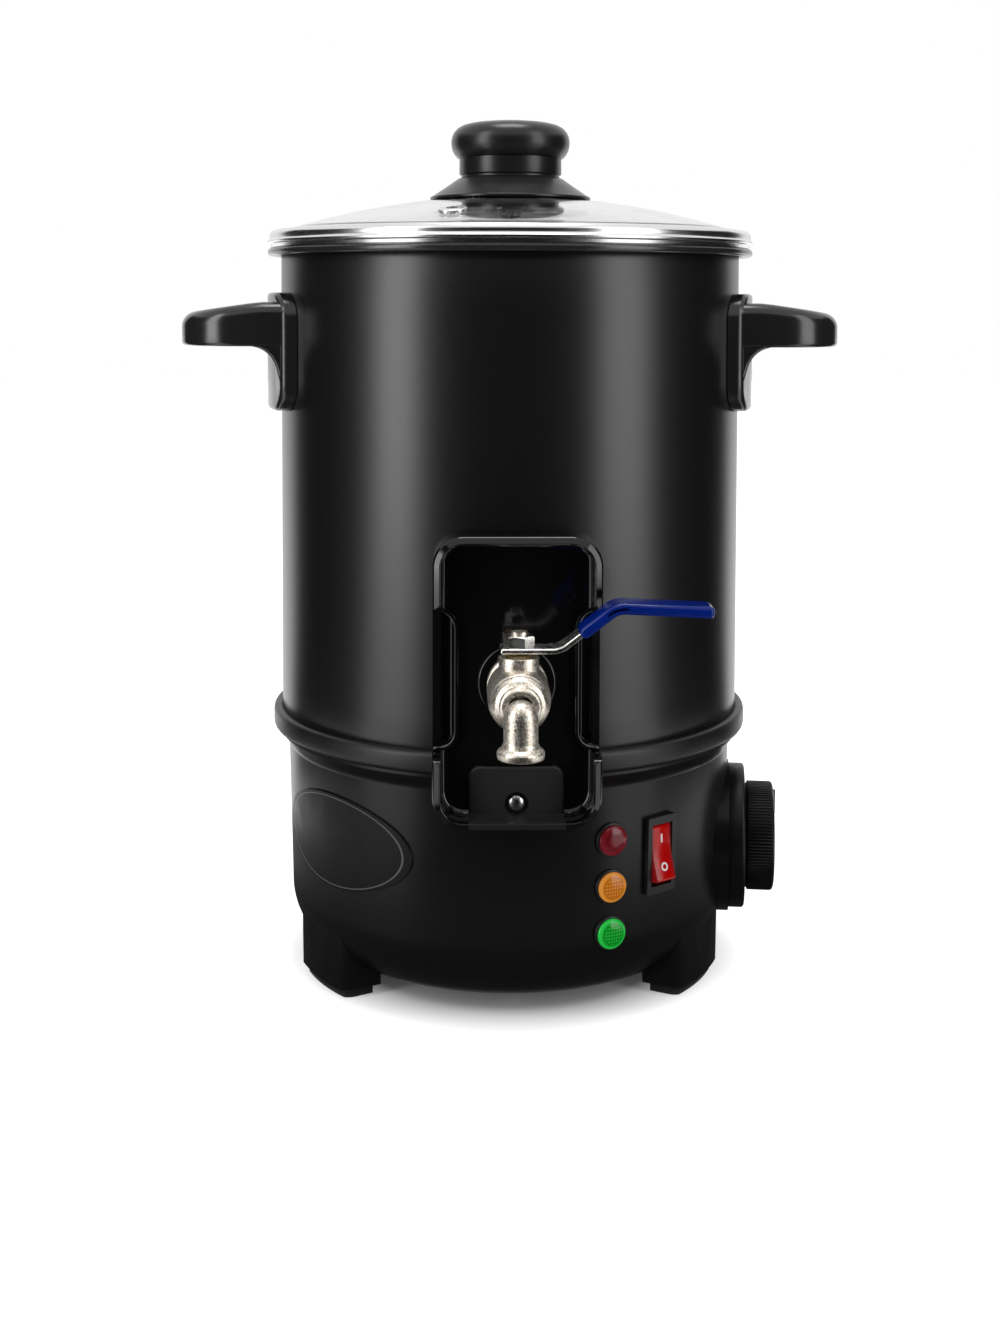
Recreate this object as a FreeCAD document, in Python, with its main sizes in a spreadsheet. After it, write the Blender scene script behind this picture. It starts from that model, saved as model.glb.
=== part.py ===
"""Candle wax melter: an electric pot in a sheet steel jacket, standing on a moulded base, with a lift-off
glass lid, two side handles and a guarded ball tap. Millimetres, +Z up, front towards -Y; the origin is on
the axis of the pot, on the surface that the rubber feet stand on."""
import FreeCAD, Part
import math
import os
from types import SimpleNamespace
import Sketcher
from FreeCAD import Vector

# Driving sizes: alias, value and meaning. Lengths in millimetres, angles in degrees. An azimuth is counted
# from the front, positive towards +X; a reach is a distance from the axis of the pot.
SIZES = (
    # clearances
    ("seat_gap", 0.3, "gap between a piece and the curved wall that it hangs on"),
    ("running_gap", 0.06, "radial clearance of a shaft in its bore"),
    ("press_gap", 0.05, "gap between two curved faces pressed together"),
    ("moving_gap", 0.3, "gap between a moving piece and what it moves over"),
    # base
    ("base_ground_gap", 6.5, "underside of the base above the surface"),
    ("base_height", 97.0, "underside of the base to its top edge"),
    ("base_foot_radius", 95.0, "base wall at the underside, before rounding"),
    ("base_shoulder_radius", 97.2, "base wall at the shoulder"),
    ("base_shoulder_drop", 6.5, "shoulder below the top edge"),
    ("base_rim_radius", 101.0, "top edge of the base"),
    ("base_rim_band", 1.5, "upright band at the top edge"),
    ("base_shoulder_round", 4.0, "rounding at the shoulder"),
    ("base_wall", 3.0, "moulded wall"),
    ("base_round", 28.0, "rounding between wall and underside"),
    ("base_opening_radius", 60.0, "service opening in the underside"),
    ("leg_azimuth", 60.0, "centre line of a leg"),
    ("leg_width", 42.0, "across a leg"),
    ("leg_depth", 19.0, "radial depth of a leg"),
    ("leg_inset", 0.8, "outer face of a leg behind the base wall"),
    ("leg_round", 8.0, "upright outer corners of a leg"),
    ("leg_wall", 3.0, "wall of the hollow leg"),
    ("foot_height", 4.0, "rubber foot under a leg"),
    ("foot_inset", 2.5, "edge of the rubber foot inside the edge of the leg"),
    ("cover_radius", 68.0, "bottom cover"),
    ("cover_sheet", 1.5, "thickness of the bottom cover"),
    ("cover_screw_reach", 64.0, "cover screws from the axis"),
    ("cover_screw_radius", 1.5, "cover screw"),
    ("cover_screw_length", 9.0, "cover screw"),
    ("cover_boss_radius", 4.0, "boss for a cover screw"),
    ("cover_boss_height", 9.0, "boss above the floor of the base"),
    ("vent_inner_reach", 20.0, "inner end of a vent slot"),
    ("vent_length", 26.0, "length of a vent slot"),
    ("vent_width", 5.0, "width of a vent slot"),
    ("base_screw_azimuth", 40.0, "screws between jacket and base"),
    ("base_screw_reach", 91.5, "screws between jacket and base"),
    ("base_screw_radius", 2.0, "screws between jacket and base"),
    ("base_screw_length", 14.0, "screws between jacket and base"),
    ("base_boss_radius", 4.2, "boss for a base screw"),
    ("base_boss_height", 16.0, "boss for a base screw"),
    # seam ring and jacket
    ("ring_radius", 103.8, "outside of the seam ring"),
    ("ring_height", 9.2, "height of the seam ring"),
    ("ring_ledge", 1.5, "ledge that the jacket stands on"),
    ("ring_ledge_width", 13.0, "how far the ledge reaches in"),
    ("ring_round", 2.2, "rounding of the ring"),
    ("jacket_radius", 100.0, "outside of the jacket"),
    ("jacket_wall", 0.8, "jacket sheet"),
    ("jacket_height", 205.0, "length of the jacket"),
    # pot
    ("pot_radius", 93.0, "outside of the pot wall"),
    ("pot_wall", 1.2, "pot sheet"),
    ("pot_depth", 186.8, "rim to inner floor"),
    ("pot_corner", 10.0, "rounding between wall and floor"),
    ("rim_reach", 105.8, "outside of the rolled rim"),
    ("rim_roll", 1.7, "radius of the roll"),
    ("stud_radius", 3.0, "threaded stud under the pot"),
    ("stud_length", 28.0, "length of the stud"),
    # heating
    ("heater_radius", 72.0, "spreader plate under the pot"),
    ("heater_sheet", 4.0, "thickness of the spreader plate"),
    ("element_reach", 55.0, "centre line of the tubular element"),
    ("element_radius", 4.0, "radius of the tubular element"),
    ("element_gap_angle", 30.0, "gap between the ends of the element"),
    ("terminal_radius", 2.0, "cold pin of the element"),
    ("terminal_length", 7.5, "cold pin below the centre of the element"),
    ("nut_flats", 10.0, "nuts, across flats"),
    ("nut_height", 5.0, "nuts"),
    ("shield_sheet", 0.8, "heat shield"),
    ("shield_edge", 1.2, "heat shield inside the jacket"),
    ("shield_hole_radius", 7.0, "wire holes in the heat shield"),
    ("cutout_reach", 30.0, "thermal cut-out from the axis"),
    ("cutout_radius", 8.0, "thermal cut-out"),
    ("cutout_height", 7.0, "thermal cut-out"),
    ("cutout_blade", 4.5, "terminal blades of the cut-out"),
    # lid
    ("lid_rim_reach", 106.0, "outside of the lid rim"),
    ("lid_rim_sheet", 0.8, "sheet of the lid rim"),
    ("lid_lip", 5.0, "how far the rim folds over the glass"),
    ("lid_skirt", 8.0, "locating skirt below the seat"),
    ("lid_skirt_gap", 0.6, "skirt to pot wall"),
    ("glass_dome_radius", 323.0, "radius of the domed glass"),
    ("glass_thickness", 4.0, "glass"),
    ("glass_edge_rise", 6.4, "top of the glass edge above the seat"),
    ("glass_edge_gap", 2.6, "glass edge inside the rim"),
    ("eyelet_reach", 77.0, "steam eyelet from the axis"),
    ("eyelet_azimuth", -19.0, "steam eyelet"),
    ("eyelet_radius", 6.0, "flange of the steam eyelet"),
    ("eyelet_bore_radius", 2.5, "hole of the steam eyelet"),
    ("eyelet_sheet", 0.9, "flange of the steam eyelet"),
    ("skirt_radius", 35.2, "flared foot of the lid knob"),
    ("skirt_neck_radius", 22.6, "neck of the lid knob"),
    ("skirt_height", 11.0, "flared foot of the lid knob"),
    ("neck_height", 7.6, "neck of the lid knob"),
    ("cap_radius", 26.0, "grip of the lid knob"),
    ("cap_height", 16.4, "grip of the lid knob"),
    ("knob_screw_radius", 2.5, "screw that holds the lid knob"),
    ("gasket_width", 6.0, "gasket under the edge of the glass"),
    ("knob_washer_radius", 11.0, "washer under the glass"),
    ("knob_washer_sheet", 1.5, "washer under the glass"),
    # handles
    ("handle_drop", 43.0, "centre of the saddle plate below the top of the jacket"),
    ("handle_plate_height", 50.0, "saddle plate"),
    ("handle_plate_width", 90.0, "saddle plate"),
    ("handle_plate_sheet", 5.7, "saddle plate"),
    ("handle_plate_round", 12.0, "corners of the saddle plate"),
    ("handle_reach", 141.0, "outside of the handle"),
    ("handle_width", 88.0, "across the handle"),
    ("handle_round", 26.0, "outer corners of the handle in plan"),
    ("handle_bar_height", 16.0, "bar of the handle"),
    ("handle_bar_width", 12.5, "bar of the handle"),
    ("handle_bar_rise", 10.0, "centre of the bar above the centre of the plate"),
    ("handle_edge_round", 3.5, "edges of the bar"),
    ("handle_screw_spread", 74.0, "between the two screws of a handle"),
    ("handle_screw_radius", 2.0, "handle screw"),
    ("handle_screw_length", 15.0, "handle screw"),
    # tap guard
    ("guard_width", 65.0, "tap guard"),
    ("guard_height", 113.0, "tap guard"),
    ("guard_foot", 87.0, "lower edge of the guard above the surface"),
    ("guard_reach", 118.0, "front edge of the guard"),
    ("guard_floor_reach", 106.5, "floor of the guard"),
    ("guard_floor", 2.4, "thickness of the floor"),
    ("guard_wall", 3.2, "wall of the guard"),
    ("guard_round", 12.0, "corners of the guard"),
    ("guard_lip_round", 1.4, "rounding of the front edge"),
    ("guard_pad_width", 37.0, "raised pad round the screw"),
    ("guard_pad_top", 109.5, "top of the raised pad above the surface"),
    ("guard_pad_rise", 1.6, "raised pad above the floor"),
    ("guard_scoop_foot", 115.0, "lower end of the side scoops above the surface"),
    ("guard_scoop_height", 56.0, "length of the side scoops"),
    ("guard_scoop_spread", 45.0, "between the two side scoops"),
    ("guard_scoop_reach", 102.9, "bottom of the side scoops"),
    ("guard_scoop_round", 8.0, "corners of the side scoops"),
    ("guard_collar_radius", 15.2, "collar round the tap hole"),
    ("guard_collar_rise", 1.8, "collar above the floor"),
    ("guard_screw_height", 95.0, "guard screw above the surface"),
    ("guard_screw_well", 5.2, "radius of the well round the guard screw"),
    ("guard_screw_radius", 1.6, "guard screw"),
    # tap
    ("tap_floor_gap", 5.6, "lock nut of the tap above the floor of the pot"),
    ("tap_neck_length", 7.4, "neck between flange and ball chamber"),
    ("tap_tail_radius", 8.0, "threaded tail through the pot wall"),
    ("tap_tail_inside", 11.0, "tail inside the pot"),
    ("tap_bore_radius", 4.8, "bore of the tap"),
    ("tap_flange_radius", 11.7, "flange against the guard"),
    ("tap_flange_sheet", 3.0, "flange against the guard"),
    ("tap_neck_radius", 9.8, "neck behind the ball chamber"),
    ("tap_chamber_radius", 11.7, "outside of the ball chamber"),
    ("tap_chamber_half", 12.0, "ball chamber each side of the stem"),
    ("tap_cavity_radius", 9.4, "inside of the ball chamber"),
    ("tap_cavity_half", 8.5, "cavity each side of the stem"),
    ("tap_sleeve_radius", 11.2, "spacer between pot and tap"),
    ("tap_hole_gap", 0.9, "hole round the spacer"),
    ("bonnet_radius", 7.65, "bonnet round the stem"),
    ("bonnet_rise", 15.4, "top of the bonnet above the tap axis"),
    ("packing_radius", 4.9, "packing recess"),
    ("packing_rise", 10.6, "floor of the packing recess above the tap axis"),
    ("packing_height", 3.3, "stem packing"),
    ("gland_flats", 9.0, "gland nut, across flats"),
    ("gland_head", 1.2, "gland nut above the bonnet"),
    ("ball_radius", 8.0, "ball"),
    ("ball_slot_width", 2.8, "slot for the stem"),
    ("ball_slot_depth", 2.4, "slot for the stem"),
    ("stem_radius", 3.0, "stem"),
    ("stem_tip", 1.3, "stem above the lever nut"),
    ("spout_offset", 21.5, "spout in front of the stem"),
    ("spout_radius", 6.2, "spout"),
    ("spout_drop", 17.5, "mouth of the spout below the tap axis"),
    ("spout_flare_radius", 8.8, "lip of the spout"),
    ("spout_flare_height", 4.0, "lip of the spout"),
    ("spout_collar_radius", 10.8, "collar of the spout"),
    ("spout_collar_sheet", 2.8, "collar of the spout"),
    ("spout_elbow_radius", 7.3, "elbow of the spout"),
    ("lock_nut_flats", 24.0, "nut inside the pot, across flats"),
    ("seal_radius", 12.0, "silicone seals"),
    ("seal_sheet", 1.6, "silicone seals"),
    # lever
    ("lever_sheet", 2.2, "lever strip"),
    ("lever_width", 12.0, "lever strip"),
    ("lever_heel", 7.0, "strip behind the stem"),
    ("lever_nut_height", 4.2, "nut on the stem"),
    ("lever_flat", 15.0, "level part of the strip from the stem"),
    ("lever_rise", 16.0, "height of the crank"),
    ("lever_run", 21.0, "length of the crank"),
    ("lever_reach", 70.0, "end of the strip from the stem"),
    ("lever_bend", 8.0, "bends of the strip"),
    ("lever_droop", 1.6, "outer end of the strip below the crank"),
    ("grip_skin", 1.1, "vinyl round the strip"),
    ("grip_start", 0.36, "where the vinyl starts, as a part of the crank"),
    ("grip_round", 1.5, "edges of the vinyl"),
    # indicator lamps
    ("lamp_azimuth", 23.4, "indicator lamps"),
    ("lamp_top_height", 75.0, "upper lamp above the surface"),
    ("lamp_pitch", 19.0, "between the lamps"),
    ("lamp_bezel_radius", 6.9, "ring of a lamp"),
    ("lamp_bezel_sheet", 1.2, "ring of a lamp"),
    ("lamp_lens_radius", 6.1, "lens of a lamp"),
    ("lamp_lens_rise", 2.4, "lens above its ring"),
    ("lamp_body_radius", 5.6, "barrel of a lamp"),
    ("lamp_body_length", 15.0, "barrel of a lamp"),
    ("lamp_blade_length", 8.0, "terminals of a lamp"),
    # rocker switch
    ("switch_azimuth", 37.4, "rocker switch"),
    ("switch_height", 65.5, "rocker switch above the surface"),
    ("switch_bezel_width", 15.4, "frame of the switch"),
    ("switch_bezel_height", 31.6, "frame of the switch"),
    ("switch_bezel_sheet", 2.2, "frame of the switch"),
    ("switch_body_width", 13.0, "body of the switch"),
    ("switch_body_height", 28.4, "body of the switch"),
    ("switch_body_depth", 17.0, "body of the switch"),
    ("switch_well_width", 11.0, "well of the rocker"),
    ("switch_well_height", 25.4, "well of the rocker"),
    ("switch_well_depth", 10.0, "well of the rocker"),
    ("rocker_half", 11.2, "rocker each side of its pivot"),
    ("rocker_face", 5.6, "end of the rocker face in front of the pivot"),
    ("rocker_dish", 1.4, "dish of the rocker face"),
    ("rocker_back", 4.0, "back of the rocker behind the pivot"),
    ("rocker_pivot_depth", 2.0, "pivot behind the base wall"),
    ("rocker_pivot_radius", 1.2, "pivot"),
    ("rocker_tilt", 11.0, "rocker each side of level"),
    # temperature dial
    ("dial_azimuth", 82.5, "temperature dial"),
    ("dial_height", 53.5, "temperature dial above the surface"),
    ("dial_boss_radius", 32.5, "flat boss on the base"),
    ("dial_boss_reach", 97.6, "face of the boss"),
    ("dial_bezel_radius", 31.0, "scale ring"),
    ("dial_bezel_sheet", 6.9, "scale ring"),
    ("dial_knob_radius", 23.2, "dial knob"),
    ("dial_knob_height", 12.5, "dial knob"),
    ("dial_rib_radius", 0.9, "ribs of the dial knob"),
    ("dial_pointer_width", 2.4, "pointer ridge of the dial knob"),
    ("dial_pointer_rise", 0.8, "pointer ridge above the face"),
    ("dial_spindle_radius", 3.0, "spindle of the thermostat"),
    ("dial_bushing_radius", 5.0, "threaded bushing of the thermostat"),
    ("dial_nut_flats", 14.0, "nut of the thermostat, across flats"),
    ("dial_nut_sheet", 2.4, "nut of the thermostat"),
    ("thermostat_width", 36.0, "body of the thermostat"),
    ("thermostat_depth", 24.0, "body of the thermostat"),
    ("probe_radius", 3.0, "bulb of the thermostat"),
    ("probe_half", 34.0, "bulb each side of the axis"),
    ("probe_offset", 12.0, "bulb beside the stud"),
    ("capillary_radius", 0.9, "capillary tube"),
    ("capillary_bend", 5.0, "bends of the capillary tube"),
    # oval plate
    ("plate_azimuth", -49.8, "oval plate"),
    ("plate_height", 67.0, "oval plate above the surface"),
    ("plate_half_width", 41.0, "oval plate"),
    ("plate_half_height", 19.5, "oval plate"),
    ("plate_sheet", 0.8, "oval plate"),
    # mains inlet
    ("inlet_height", 52.0, "mains inlet above the surface"),
    ("inlet_boss_width", 58.0, "flat boss on the base"),
    ("inlet_boss_height", 32.0, "flat boss on the base"),
    ("inlet_boss_reach", 98.4, "face of the boss"),
    ("inlet_flange_width", 50.0, "flange of the inlet"),
    ("inlet_flange_height", 24.0, "flange of the inlet"),
    ("inlet_flange_sheet", 2.5, "flange of the inlet"),
    ("inlet_body_width", 27.0, "body of the inlet"),
    ("inlet_body_height", 19.6, "body of the inlet"),
    ("inlet_body_depth", 20.0, "body behind the boss face"),
    ("inlet_well_width", 24.4, "socket of the inlet"),
    ("inlet_well_height", 16.6, "socket of the inlet"),
    ("inlet_well_depth", 16.5, "socket of the inlet"),
    ("inlet_pin_pitch", 14.0, "between the outer pins"),
    ("inlet_pin_width", 2.0, "pins"),
    ("inlet_pin_height", 4.0, "pins"),
    ("inlet_pin_short", 2.0, "pins behind the mouth of the socket"),
    ("inlet_pin_tail", 7.0, "pins behind the body"),
    ("inlet_screw_pitch", 40.0, "between the flange screws"),
    ("inlet_screw_radius", 1.5, "flange screw"),
    ("inlet_screw_length", 9.0, "flange screw"),
)

VENT_COUNT = 12
DIAL_RIB_COUNT = 30
PARTS_FOLDER = "parts"

document = FreeCAD.newDocument("WaxMelter")
sheet = document.addObject("Spreadsheet::Sheet", "Sizes")
for row, (alias, value, meaning) in enumerate(SIZES, start=1):
    sheet.set(f"A{row}", meaning)
    sheet.set(f"B{row}", str(value))
    sheet.setAlias(f"B{row}", alias)
document.recompute()


class Size:
    """A number that also knows the sheet expression it comes from."""

    def __init__(self, text, value):
        self.text = text
        self.value = value

    @staticmethod
    def of(thing):
        return thing if isinstance(thing, Size) else Size(repr(float(thing)), float(thing))

    def __add__(self, other):
        other = Size.of(other)
        return Size(f"({self.text} + {other.text})", self.value + other.value)

    def __sub__(self, other):
        other = Size.of(other)
        return Size(f"({self.text} - {other.text})", self.value - other.value)

    def __mul__(self, other):
        other = Size.of(other)
        return Size(f"({self.text} * {other.text})", self.value * other.value)

    def __truediv__(self, other):
        other = Size.of(other)
        return Size(f"({self.text} / {other.text})", self.value / other.value)

    def __radd__(self, other):
        return Size.of(other) + self

    def __rsub__(self, other):
        return Size.of(other) - self

    def __rmul__(self, other):
        return Size.of(other) * self

    def __neg__(self):
        return Size(f"(0 - {self.text})", -self.value)


def root(size):
    return Size(f"sqrt({size.text})", math.sqrt(size.value))


def sine(size):
    size = Size.of(size)
    return Size(f"sin({size.text})", math.sin(math.radians(size.value)))


def cosine(size):
    size = Size.of(size)
    return Size(f"cos({size.text})", math.cos(math.radians(size.value)))


def slope_angle(rise, run):
    return Size(f"(atan2({rise.text}; {run.text}) / 1 deg)", math.degrees(math.atan2(rise.value, run.value)))


S = SimpleNamespace(**{alias: Size(f"Sizes.{alias}", float(value)) for alias, value, meaning in SIZES})
ZERO = Size("0", 0.0)


# ---- drawing: sketches whose points are bound to the sheet ----

def bind(thing, name, size):
    thing.setExpression(name, Size.of(size).text)


def new_body(name):
    body = document.addObject("PartDesign::Body", name)
    body.Label = name
    return body


def new_sketch(body, plane, name, offset=None):
    """A sketch on an origin plane of the body, moved along the plane's normal by offset."""
    sketch = body.newObject("Sketcher::SketchObject", name)
    support = [feature for feature in body.Origin.OriginFeatures if feature.Role == plane][0]
    sketch.AttachmentSupport = [(support, "")]
    sketch.MapMode = "FlatFace"
    if offset is not None:
        bind(sketch, ".AttachmentOffset.Base.z", offset)
    return sketch


def hold(sketch, geometry, end, x, y):
    """Tie one point of the sketch to its two coordinates."""
    for kind, size, axis in (("DistanceX", x, -2), ("DistanceY", y, -1)):
        if size is ZERO:
            sketch.addConstraint(Sketcher.Constraint("PointOnObject", geometry, end, axis))
            continue
        size = Size.of(size)
        index = sketch.addConstraint(Sketcher.Constraint(kind, -1, 1, geometry, end, size.value))
        bind(sketch, f"Constraints[{index}]", size)


def set_radius(sketch, geometry, size):
    size = Size.of(size)
    index = sketch.addConstraint(Sketcher.Constraint("Radius", geometry, size.value))
    bind(sketch, f"Constraints[{index}]", size)


def flat(x, y):
    return Vector(Size.of(x).value, Size.of(y).value, 0)


def turn_between(centre, start, end):
    """Start and end angle of the shorter arc, and whether it runs anticlockwise from start to end."""
    first = math.atan2(start.y - centre.y, start.x - centre.x)
    last = math.atan2(end.y - centre.y, end.x - centre.x)
    sweep = (last - first) % (2 * math.pi)
    if sweep < math.pi:
        return first, first + sweep, True
    return last, last + 2 * math.pi - sweep, False


class Bulge:
    """A stretch of outline that is an arc: it bulges to the right of the way the outline runs."""

    def __init__(self, radius, left=False):
        self.radius = Size.of(radius)
        self.left = left


def crown(reach, rise):
    """The bulge that reaches the axis level: part of a ball with its centre on the axis."""
    return Bulge((reach * reach + rise * rise) / (rise * 2))


def add_arc(sketch, centre, radius, start, end):
    """Add the arc and give its geometry number and which of its ends is the start and the end."""
    first, last, forwards = turn_between(centre, start, end)
    circle = Part.Circle(centre, Vector(0, 0, 1), radius)
    arc = sketch.addGeometry(Part.ArcOfCircle(circle, first, last), False)
    return (arc, 1, 2) if forwards else (arc, 2, 1)


def outline(sketch, *path, closed=True):
    """Draw an outline through corners (x, y) or (x, y, rounding); a Bulge between two corners is an arc."""
    corners, bulges = [], {}
    for item in path:
        if isinstance(item, Bulge):
            bulges[len(corners) - 1] = item
        else:
            corners.append(item)
    count = len(corners)
    points = [flat(corner[0], corner[1]) for corner in corners]
    rounds = [corner[2] if len(corner) == 3 else None for corner in corners]
    entry, exit_, arcs = list(points), list(points), {}
    for i in range(count):
        if rounds[i] is None:
            continue
        before = (points[i - 1] - points[i]).normalize()
        after = (points[(i + 1) % count] - points[i]).normalize()
        radius = Size.of(rounds[i]).value
        half = before.getAngle(after) / 2
        entry[i] = points[i] + before * (radius / math.tan(half))
        exit_[i] = points[i] + after * (radius / math.tan(half))
        centre = points[i] + (before + after).normalize() * (radius / math.sin(half))
        arcs[i] = add_arc(sketch, centre, radius, entry[i], exit_[i])
        set_radius(sketch, arcs[i][0], rounds[i])
    runs = []
    for i in range(count if closed else count - 1):
        start, end = exit_[i], entry[(i + 1) % count]
        if i in bulges:
            bulge = bulges[i]
            chord = end - start
            side = Vector(-chord.y, chord.x, 0).normalize() * (-1 if bulge.left else 1)
            depth = math.sqrt(bulge.radius.value ** 2 - chord.Length ** 2 / 4)
            runs.append(add_arc(sketch, (start + end) / 2 + side * depth, bulge.radius.value, start, end))
            set_radius(sketch, runs[-1][0], bulge.radius)
        else:
            runs.append((sketch.addGeometry(Part.LineSegment(start, end), False), 1, 2))
    for i in range(count):
        came = runs[i - 1] if closed or i > 0 else None
        goes = runs[i] if closed or i < count - 1 else None
        x, y = corners[i][:2]
        if i in arcs:
            arc, first, last = arcs[i]
            corner = sketch.addGeometry(Part.Point(points[i]), True)
            for geometry in (came[0], goes[0]):
                sketch.addConstraint(Sketcher.Constraint("PointOnObject", corner, 1, geometry))
            sketch.addConstraint(Sketcher.Constraint("Tangent", came[0], came[2], arc, first))
            sketch.addConstraint(Sketcher.Constraint("Tangent", arc, last, goes[0], goes[1]))
            hold(sketch, corner, 1, x, y)
            continue
        if came and goes:
            sketch.addConstraint(Sketcher.Constraint("Coincident", came[0], came[2], goes[0], goes[1]))
        held, end = (goes[0], goes[1]) if goes else (came[0], came[2])
        hold(sketch, held, end, x, y)


def ring_line(sketch, x, y, radius):
    """Draw a full circle."""
    value = Size.of(radius).value
    circle = sketch.addGeometry(Part.Circle(flat(x, y), Vector(0, 0, 1), value), False)
    hold(sketch, circle, 3, x, y)
    set_radius(sketch, circle, radius)


def rectangle(width, height, rounding=None, x=ZERO, y=ZERO):
    """Corners of an upright rectangle round the point (x, y)."""
    half, tall = width / 2, height / 2
    extra = () if rounding is None else (rounding,)
    return tuple((x + sx * half, y + sy * tall) + extra for sx, sy in ((-1, -1), (1, -1), (1, 1), (-1, 1)))


def hexagon(flats, x=ZERO, y=ZERO):
    reach = flats / math.sqrt(3)
    return tuple((x + reach * math.cos(math.radians(a)), y + reach * math.sin(math.radians(a)))
                 for a in range(0, 360, 60))


# ---- solids ----

def spun(name, *path):
    """A body turned about its own Z axis; the outline's corners are (radius, height)."""
    body = new_body(name)
    sketch = new_sketch(body, "XZ_Plane", name + "_outline")
    outline(sketch, *path)
    turn = body.newObject("PartDesign::Revolution", name + "_turned")
    turn.Profile = sketch
    turn.ReferenceAxis = (sketch, ["V_Axis"])
    turn.Angle = 360
    sketch.Visibility = False
    return body


def prism(name, length, *outlines, start=ZERO, circles=(), plane="XY_Plane"):
    """A body padded along the plane's normal from start; further outlines and circles are holes."""
    body = new_body(name)
    sketch = new_sketch(body, plane, name + "_outline", start)
    for path in outlines:
        outline(sketch, *path)
    for x, y, radius in circles:
        ring_line(sketch, x, y, radius)
    pad = body.newObject("PartDesign::Pad", name + "_pad")
    pad.Profile = sketch
    pad.Length = Size.of(length).value
    bind(pad, "Length", length)
    return body


def rounded_edges(body, radius, wanted):
    """Fillet the edges of a body that the function wanted picks."""
    document.recompute()
    sharp = body.Tip
    names = [f"Edge{n}" for n, edge in enumerate(sharp.Shape.Edges, start=1) if wanted(edge)]
    fillet = body.newObject("PartDesign::Fillet", body.Name + "_rounding")
    fillet.Base = (sharp, names)
    bind(fillet, "Radius", radius)
    return body


def cylinder(name, radius, height, bottom=ZERO):
    solid = document.addObject("Part::Cylinder", name)
    bind(solid, "Radius", radius)
    bind(solid, "Height", height)
    bind(solid, "Placement.Base.z", bottom)
    return solid


def ball(name, radius):
    solid = document.addObject("Part::Sphere", name)
    bind(solid, "Radius", radius)
    return solid


def fuse(name, *shapes):
    solid = document.addObject("Part::MultiFuse", name)
    solid.Shapes = list(shapes)
    return solid


def common(name, *shapes):
    solid = document.addObject("Part::MultiCommon", name)
    solid.Shapes = list(shapes)
    return solid


def cut(name, base, *tools):
    solid = document.addObject("Part::Cut", name)
    solid.Base = base
    solid.Tool = tools[0] if len(tools) == 1 else fuse(name + "_tools", *tools)
    return solid


def group(name, *shapes):
    several = document.addObject("Part::Compound", name)
    several.Links = list(shapes)
    return several


def mirrored(name, shape, normal):
    image = document.addObject("Part::Mirroring", name)
    image.Source = shape
    image.Normal = normal
    return image


def place_expression(x, y, z, *turns):
    """Placement expression; each turn is an axis and an angle, the first one applied last."""
    spin = " * ".join(f"create(<<rotation>>; create(<<vector>>; {axis[0]}; {axis[1]}; {axis[2]}); {angle.text})"
                      for axis, angle in ((axis, Size.of(angle)) for axis, angle in turns))
    base = f"create(<<vector>>; {Size.of(x).text}; {Size.of(y).text}; {Size.of(z).text})"
    return f"create(<<placement>>; {base}; {spin})"


def stand(solid, azimuth=ZERO, reach=ZERO, height=ZERO):
    """Stand a solid upright at a distance from the axis, turned so that its -Y looks outwards."""
    place = place_expression(reach * sine(azimuth), -(reach * cosine(azimuth)), height, ((0, 0, 1), azimuth))
    solid.setExpression("Placement", place)
    return solid


def face(solid, azimuth=ZERO, height=ZERO, reach=ZERO, lean=ZERO, roll=ZERO):
    """Point a solid's Z outwards and its Y upwards; lean tips it back with a sloping wall."""
    place = place_expression(reach * sine(azimuth), -(reach * cosine(azimuth)), height,
                             ((0, 0, 1), azimuth), ((1, 0, 0), 90 + lean), ((0, 0, 1), roll))
    solid.setExpression("Placement", place)
    return solid


def pan_screw(name, shank_radius, length):
    """Screw with a domed head: the head seats at z = 0 and the shank runs to -Z."""
    head_radius, head_height = shank_radius * 1.9, shank_radius * 1.3
    return spun(name, (ZERO, -length), (shank_radius, -length), (shank_radius, ZERO), (head_radius, ZERO),
                (head_radius, head_height * 0.5), crown(head_radius, head_height * 0.5), (ZERO, head_height))


NODES = []


def node(solid, label=None):
    """Give a finished piece its label and list it for export."""
    solid.Label = label or solid.Name
    NODES.append(solid)
    return solid


# ---- heights that follow from the stack of pieces ----

base_top = S.base_ground_gap + S.base_height
base_shoulder = base_top - S.base_shoulder_drop
base_slope = (S.base_shoulder_radius - S.base_foot_radius) / (base_shoulder - S.base_ground_gap)
base_lean = slope_angle(S.base_shoulder_radius - S.base_foot_radius, base_shoulder - S.base_ground_gap)
jacket_foot = base_top + S.ring_ledge
jacket_top = jacket_foot + S.jacket_height
rim_top = jacket_top + S.pot_wall
pot_floor = rim_top - S.pot_depth
pot_underside = pot_floor - S.pot_wall
pot_inner_radius = S.pot_radius - S.pot_wall
heater_underside = pot_underside - S.heater_sheet
handle_height = jacket_top - S.handle_drop
tap_height = pot_floor + S.lock_nut_flats / 2 + S.tap_floor_gap


def wall_radius(height):
    """Outside of the sloping base wall at a height."""
    return S.base_foot_radius + (height - S.base_ground_gap) * base_slope


# ---- base: moulded bowl on four hollow legs, with bosses, cut-outs and rubber feet ----

bowl = spun("base_bowl",
            (S.base_opening_radius, S.base_ground_gap),
            (S.base_foot_radius, S.base_ground_gap, S.base_round),
            (S.base_shoulder_radius, base_shoulder, S.base_shoulder_round),
            (S.base_rim_radius, base_top - S.base_rim_band),
            (S.base_rim_radius, base_top),
            (S.base_rim_radius - S.base_wall, base_top),
            (S.base_shoulder_radius - S.base_wall, base_shoulder),
            (S.base_foot_radius - S.base_wall, S.base_ground_gap + S.base_wall, S.base_round - S.base_wall),
            (S.base_opening_radius, S.base_ground_gap + S.base_wall))

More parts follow.
